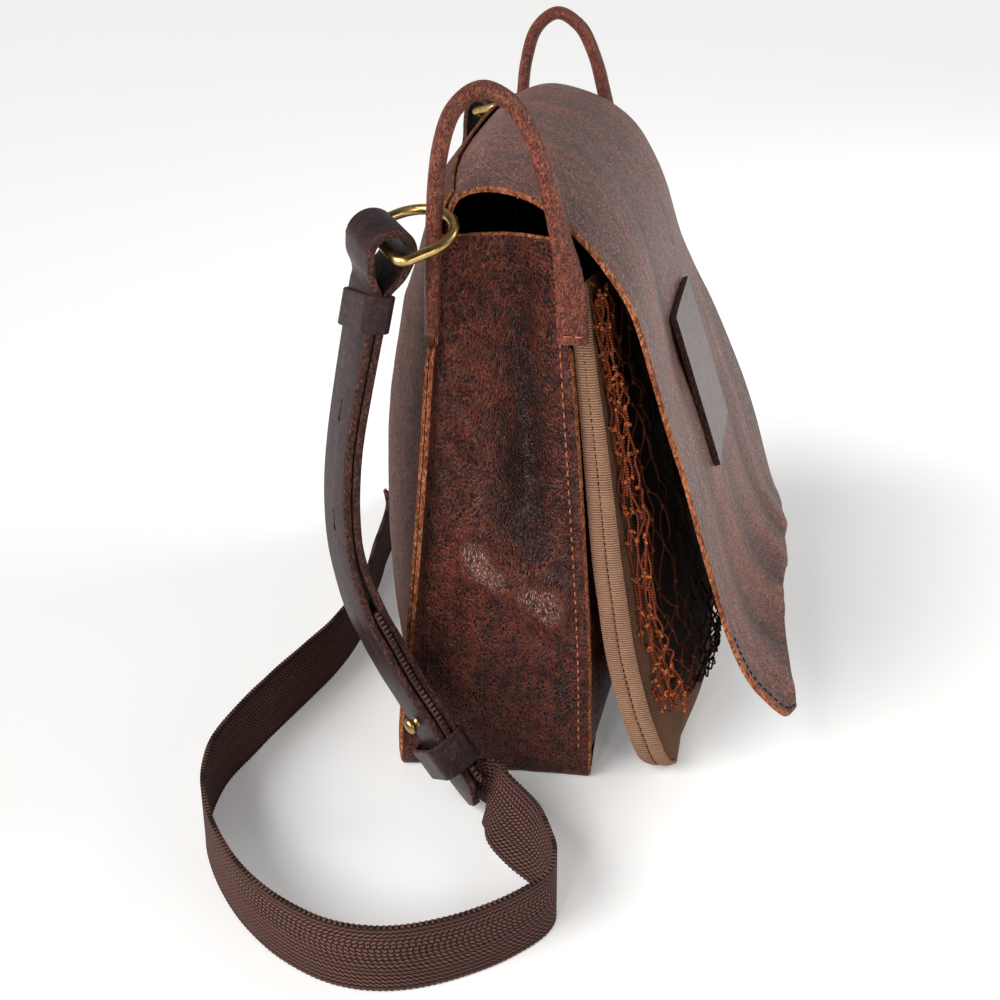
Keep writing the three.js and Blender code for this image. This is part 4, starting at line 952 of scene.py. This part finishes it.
def bunch(end):
    last = net["strands"] - 1
    parts = []
    above = None
    for j in np.arange(0.3, net["down"] - 0.5, 1.0):
        here = bunchAt(end, j)
        for spot in np.repeat(here, 2, 0):
            parts.append(knot(spot + rng.normal(0, 0.8, 3), rng.uniform(0.8, 1.25)))
        for k, spot in enumerate(here if above else ()):
            starts = {k}
            if rng.uniform() >= 0.6:
                starts.add(int(np.clip(k + rng.integers(-2, 3), 0, last)))
            for start in starts:
                bow = np.array([end * rng.normal(0, 1.2), -rng.uniform(-1.5, 2.5), rng.normal(0, 1)])
                parts.append(slackCord(above[start], spot, bow))
        fall = 1 if j < net["low"] else 0.4
        for k in rng.permutation(last)[:2]:
            droop = np.array([end * rng.uniform(-1, 2), rng.uniform(-2, 1), -rng.uniform(5, 9) * fall])
            parts.append(slackCord(here[k], here[k + 1], droop, 11))
        above = here
    return parts


netShape = joined(*meshes(), *bunch(-1), *bunch(1))
piece("game_net_cords", netShape, [netCloth, litKnotCloth], "net_cord", "game_net", sharp=80)
print("stage: net")

# Carry loops: leather rolled round a core, with flat feet sewn to the end seams.
loopTable = table(
    "y z out wide deep",
    [
        (34, 271, 9, 8, 13), (33.6, 298, 8.5, 8.2, 12), (33, 320, 7.5, 8.6, 10), (32, 338, 7, 8.6, 9),
        (29.4, 361, 7, 8.6, 9), (22.5, 382, 7, 8.8, 9), (8, 392.5, 7, 9, 9), (-8.2, 383.5, 7, 9.2, 9),
        (-18.8, 363.5, 7, 9.4, 9), (-25.2, 342, 7, 9.8, 9), (-30.4, 321, 6.6, 11, 8.2),
        (-34, 305, 5.2, 14.5, 6), (-36.2, 286, 4.3, 16.5, 4.8), (-37, 267, 4.3, 16.5, 4.8),
    ],
)
loop = {"sides": 32, "steps": 150, "groove": 0.1, "lumps": 0.25}


def makeLoop(end, name, node):
    spots = np.linspace(0, len(loopTable["y"]) - 1, loop["steps"])
    sideways = np.array([1.0, 0, 0])
    ahead = heading(loopTable, spots, "y z")
    along = np.concatenate([0 * ahead[:, :1], ahead], 1)
    across = np.cross(along, sideways)
    y, z, out, wide, deep = values(loopTable, spots, "y z out wide deep")
    centre = np.stack([end * (bodySize["end"] + out), y, z], -1)
    angle = circle(loop["sides"])
    sunk = 1 - loop["groove"] * (bell(angle, np.pi * 1.02, 0.16) + 0.6 * bell(angle, np.pi * 1.5, 0.13))
    a = wide[:, None] / 2 * np.cos(angle) * sunk
    b = deep[:, None] / 2 * np.sin(angle) * sunk
    rings = centre[:, None] + across[:, None] * a[..., None] + sideways * b[..., None]
    lumps = creases(rings, ((loop["lumps"], (9, 9, 14), 51 + end),))
    rings = rings + unit(rings - centre[:, None]) * lumps[..., None]
    piece(name, loft(rings), [loopLeather], "loop_leather", node)


makeLoop(-1, "carry_loop_near_roll", "carry_loop_near")
makeLoop(1, "carry_loop_far_roll", "carry_loop_far")
print("stage: loops")

# D-rings: round wire bent to a straight bar and a bow.
ring = {
    "bar": (-191.4, 55.8, 319.3), "along": (0.79, 0.57, 0.23), "across": (0.51, -0.815, 0.27),
    "wire": 5.4, "width": 36, "depth": 32, "corner": 5.0, "steps": 120, "sides": 20,
}


def arc(x, y, radius, start, stop, count):
    t = np.radians(np.linspace(start, stop, count))
    return np.stack([x + radius * np.cos(t), y + radius * np.sin(t)], -1)


def makeRing(end, name, node):
    mirror = np.array([-end, 1.0, 1.0])
    along = unit(np.array(ring["along"]) * mirror)
    across = np.array(ring["across"]) * mirror
    across = unit(across - along * np.dot(across, along))
    half = (ring["width"] + ring["wire"]) / 2
    c = ring["corner"]
    right = arc(half - c, c, c, -90, 0, 9)
    bow = arc(0, ring["depth"] + ring["wire"] - half, half, 0, 180, 49)[1:]
    left = arc(-half + c, c, c, 180, 270, 9)
    flat, tangent = roundOutline(np.concatenate([right, bow, left, [(0.0, 0.0)]]), ring["steps"])
    centre = np.array(ring["bar"]) * mirror + flat[:, :1] * along + flat[:, 1:] * across
    outwards = tangent[:, 1:] * along - tangent[:, :1] * across
    angle = circle(ring["sides"])[None, :, None]
    around = outwards[:, None] * np.cos(angle) + np.cross(along, across) * np.sin(angle)
    wire = loft(centre[:, None] + ring["wire"] / 2 * around, True)
    piece(name, wire, [brass], "brass", node, sharp=80)


makeRing(-1, "d_ring_near_wire", "d_ring_near")
makeRing(1, "d_ring_far_wire", "d_ring_far")

# Which sides of a strap's rounded section are face and which are cut edge.
faceOrEdge = np.array([1, 1, 0, 0, 0, 1, 1, 1] * 2)


def roundedSection(half, thick, corner, count=4):
    quarters = ((1, 1), (-1, 1), (-1, -1), (1, -1))
    return np.concatenate(
        [
            arc(x * (half - corner), y * (thick - corner), corner, k * 90, k * 90 + 90, count)
            for k, (x, y) in enumerate(quarters)
        ]
    )


# Strap leathers: up one layer, round the fold over the ring and down the other.
def strapRings(rows, tip, end):
    whole = table(strapColumns, rows + tip)
    last = len(rows) - 1
    width, thick, corner = strapSize["width"], strapSize["leather"], strapSize["corner"]

    def section(centre, across, outSide, part):
        rings = []
        for c, a, o, p in zip(centre, across, outSide, part):
            flat = roundedSection(width * p / 2, thick / 2, corner)
            rings.append(c + flat[:, :1] * a + flat[:, 1:] * o)
        return np.array(rings)

    def layer(spots, side):
        centre, _, across, outer = strapFrame(whole, spots, end)
        offset = side * value(whole, "apart", spots)[:, None] / 2
        return section(centre + outer * offset, across, outer * side, value(whole, "part", spots))

    start = np.zeros(17)
    fold = np.radians(np.linspace(-strapSize["fold"], strapSize["fold"], len(start)))[:, None]
    centre, along, across, outer = strapFrame(whole, start, end)
    outSide = outer * np.sin(fold) - along * np.cos(fold)
    bow = section(centre + outSide * whole["apart"][0] / 2, across, outSide, value(whole, "part", start))
    down = layer(np.linspace(last, 0, 70), -1)
    up = layer(np.linspace(0, last + len(tip), 76), 1)
    return np.concatenate([down, bow, up])


def makeStrap(name, node, rows, tip, end):
    shape = loft(strapRings(rows, tip, end), False, faceOrEdge)
    return piece(name, shape, [strapFace, strapEdge], "strap_leather", node, sharp=50)


nearStrap = makeStrap("strap_near_bridle", "strap_leather_near", nearStrapRows, strapTip, 1)
makeStrap("strap_far_bridle", "strap_leather_far", farStrapRows, [], -1)
nearTable = table(strapColumns, nearStrapRows)


# The near strap at a height: its middle, its directions and how far its layers are apart.
def strapAt(z):
    heights = nearTable["z"]
    spot = np.interp([-z], -heights, np.arange(len(heights)))
    return [v[0] for v in (*strapFrame(nearTable, spot, 1), value(nearTable, "apart", spot))]


# Slits for the stud: keyholes cut through the strap's outer layer, with the round end down.
slits = {"heights": (231, 168.5, 110.5), "long": 13, "wide": 1.1, "hole": 1.7, "deep": 3.0}


def cutSlits(made):
    turn = np.radians(np.linspace(25, 335, 15))
    low = slits["long"] / 2 - slits["hole"]
    hole = np.stack([slits["hole"] * np.sin(turn), low - slits["hole"] * np.cos(turn)], -1)
    top = np.array([(-slits["wide"] / 2, -slits["long"] / 2), (slits["wide"] / 2, -slits["long"] / 2)])
    outline = np.concatenate([hole, top])
    parts = []
    for z in slits["heights"]:
        centre, along, across, outer, apart = strapAt(z)
        flat = centre + outer * apart / 2 + outline[:, :1] * across + outline[:, 1:] * along
        parts.append(loft(np.array([flat - outer * slits["deep"] * 0.9, flat + outer * slits["deep"]])))
    points, faces, slots, flat = joined(*parts)
    cutter = meshObject("slit_cutter", (points, faces, slots + 1, flat), [strapFace, strapEdge])
    cut = made.modifiers.new("slits", "BOOLEAN")
    cut.object = cutter
    cut.operation = "DIFFERENCE"
    cut.solver = "EXACT"
    shape = bpy.data.meshes.new_from_object(made.evaluated_get(bpy.context.evaluated_depsgraph_get()))
    shape.set_sharp_from_angle(angle=math.radians(35))
    made.modifiers.clear()
    made.data = shape
    bpy.data.objects.remove(cutter)


cutSlits(nearStrap)
print("stage: straps")

# Keepers: leather bands round both layers.
keeper = {
    "tall": 20, "thick": 2.4, "slack": 0.8, "steps": 96,
    "upper": {"z": 283, "inside": 32, "slant": 0.27, "corner": 5.5, "loose": 0},
    "lower": {"z": 37, "inside": 38, "slant": 0.06, "corner": 8.4, "loose": 5},
}


def makeKeeper(which, name, node):
    look = keeper[which]
    centre, along, across, outer, apart = strapAt(look["z"])
    wide = look["inside"] / 2 + keeper["slack"] + keeper["thick"] / 2
    deep = (apart + strapSize["leather"] + keeper["thick"]) / 2 + keeper["slack"]
    outline = roundedSection(wide, deep, look["corner"], 9)
    outline[:, 1] += np.where(outline[:, 1] > 0, look["loose"], 0)
    flat, tangent = roundOutline(outline, keeper["steps"])
    outwards = tangent[:, 1:] * across - tangent[:, :1] * outer
    middle = centre + flat[:, :1] * across + flat[:, 1:] * outer
    profile = roundedSection(keeper["tall"] / 2, keeper["thick"] / 2, 0.8)
    lift = profile[None, :, :1] + (look["slant"] * flat[:, :1])[:, None]
    rings = middle[:, None] + along * lift + outwards[:, None] * profile[None, :, 1:]
    piece(name, loft(rings, True, faceOrEdge), [strapFace, strapEdge], "strap_leather", node, sharp=50)


makeKeeper("upper", "keeper_upper_band", "keeper_upper")
makeKeeper("lower", "keeper_lower_band", "keeper_lower")

# Stud: a turned brass button on the strap's outer face.
stud = {"z": 56, "head": 4.8, "neck": 2.2, "tall": 7, "proud": 0.5, "sides": 32}


def makeStud():
    centre, along, across, outer, apart = strapAt(stud["z"])
    base = centre + outer * (apart / 2 + strapSize["leather"] / 2 + stud["proud"])
    h, r, n = stud["tall"], stud["head"], stud["neck"]
    head = arc(0, 0, 1, -62, 88, 18) * (r, 0.4 * h) + (0, 0.6 * h)
    profile = np.concatenate([[(n * 1.5, 0), (n, 0.15 * h), (n, 0.3 * h)], head])
    angle = circle(stud["sides"])[:, None]
    around = np.cos(angle) * across + np.sin(angle) * along
    rings = np.array([base + outer * z + radius * around for radius, z in profile])
    piece("stud_button", loft(rings), [brass], "brass", "stud", sharp=60)


makeStud()
print("stage: keepers and stud")

# Stitches: short waxed lengths along a line on a surface, by their pitch and length.
thread = {
    "thick": 0.9, "arch": (-0.7, 0.25, 0.5, 0.25, -0.7), "radius": (0.35, 0.5, 0.55, 0.5, 0.35),
    "sides": 6, "seam": (5.5, 3.2), "foot": (6.0, 4.2), "hem": (4.6, 3.4), "tape": (4.0, 3.2),
    "inset": (0, 2.5, 0),
}


def stitches(name, points, normals, kind, material, slot):
    pitch, long = thread[kind]
    run = lengths(points, 0)
    order = np.arange(len(points))
    arch = np.array(thread["arch"])[:, None] * thread["thick"]
    radius = np.array(thread["radius"]) * thread["thick"]
    parts = []
    for k in range(int(run[-1] / pitch)):
        at = np.interp((k + 0.5) * pitch + np.linspace(-0.5, 0.5, len(arch)) * long, run, order)
        spots = np.stack([np.interp(at, order, points[:, c]) for c in range(3)], -1)
        face = unit(np.array([np.interp(at[2], order, normals[:, c]) for c in range(3)]))
        parts.append(loft(cordRings(spots + arch * face, radius, thread["sides"])))
    piece(name, joined(*parts), [material], slot, sharp=80)


for end, name in ((-1, "near"), (1, "far")):
    stretch = stations(np.linspace(2.2, 8.2, 200), end)
    out = stretch[2]
    points = seam(stretch, -1)[0] + np.array(thread["inset"]) + out * (seamSize["leather"] / 2)
    stitches(f"front_seam_thread_{name}", points, out, "seam", threadCloth, "body_leather")
    foot = np.linspace((end * 176.9, -43.5, 271.5), (end * 176.9, -30.5, 271.5), 20)
    stitches(f"loop_foot_thread_{name}", foot, out[-20:], "foot", threadCloth, "loop_leather")
stitches("flap_hem_thread", *flapHem, "hem", darkThread, "flap_leather")
tapeLine[:, 2] = np.maximum(tapeLine[:, 2], thread["thick"])  # above the floor
stitches("tape_thread", tapeLine, tapeOut, "tape", darkThread, "binding_tape")
print("stage: stitches")


# Floor: pale matt paper with a faint fibre, lifted by a little glow of its own.
def paperFloor():
    made, add = newMaterial("pale_paper")
    spot = add("TexCoord").outputs["Object"]
    fibre = add("TexNoise", {"Scale": 400.0, "Detail": 3.0}, {"Vector": spot})
    colour = add("Mix", {**tinted, 6: "#f4f3f1", 7: "#fbfaf8"}, {0: fibre})
    finish = {
        "Roughness": 0.9, "Specular IOR Level": 0.1,
        "Emission Color": (1, 1, 1, 1), "Emission Strength": 0.16,
    }
    close(add, finish, {"Base Color": colour})
    return made


floorSize = 90.0
floorMesh = bpy.data.meshes.new("floor")
corners = [(-1, -1), (1, -1), (1, 1), (-1, 1)]
floorMesh.from_pydata([(x * floorSize, y * floorSize, 0.0) for x, y in corners], [], [(0, 1, 2, 3)])
floorMesh.materials.append(paperFloor())
floor = bpy.data.objects.new("floor", floorMesh)
scene.collection.objects.link(floor)


# Lamps: the strip stands at the right of the view, with a glint and a fill near the camera. The key is a
# wide soft sun from the left.
def hangLamp(name, kind, power, towards):
    lamp = bpy.data.lights.new(name, kind)
    lamp.energy = power
    holder = bpy.data.objects.new(name, lamp)
    holder.rotation_euler = towards.to_track_quat("-Z", "Y").to_euler()
    scene.collection.objects.link(holder)
    return holder


lampAim = Vector((-0.1, 0, 0.15))
lamps = (
    ("strip", (0.6, -1.6, 1.0), 0.9, 18),
    ("glint", (-1.33, 0.18, 0.58), 0.16, 3),
    ("fill", (-0.72, -0.5, 0.34), 0.3, 1.0),
)
for name, spot, size, power in lamps:
    holder = hangLamp(name, "AREA", power, lampAim - Vector(spot))
    holder.location = spot
    holder.data.size = size
sun = hangLamp("sky", "SUN", 3.8, Vector((0.55, -0.66, -0.5)))
sun.data.angle = math.radians(50)

# The room: a pale wall behind the bag and a dim one before it.
world = bpy.data.worlds.new("studio")
world.use_nodes = True
room = world.node_tree
facing = addNode(room, "SeparateXYZ", None, {0: addNode(room, "TexCoord").outputs["Generated"]})
glow = addNode(room, "MapRange", (-0.3, 0.9, 0.06, 0.4), {0: facing})
room.links.new(glow.outputs[0], room.nodes["Background"].inputs[1])
room.nodes["Background"].inputs[0].default_value = (1, 1, 1, 1)
scene.world = world
scene.view_settings.view_transform = "Standard"
print("stage: floor and light")
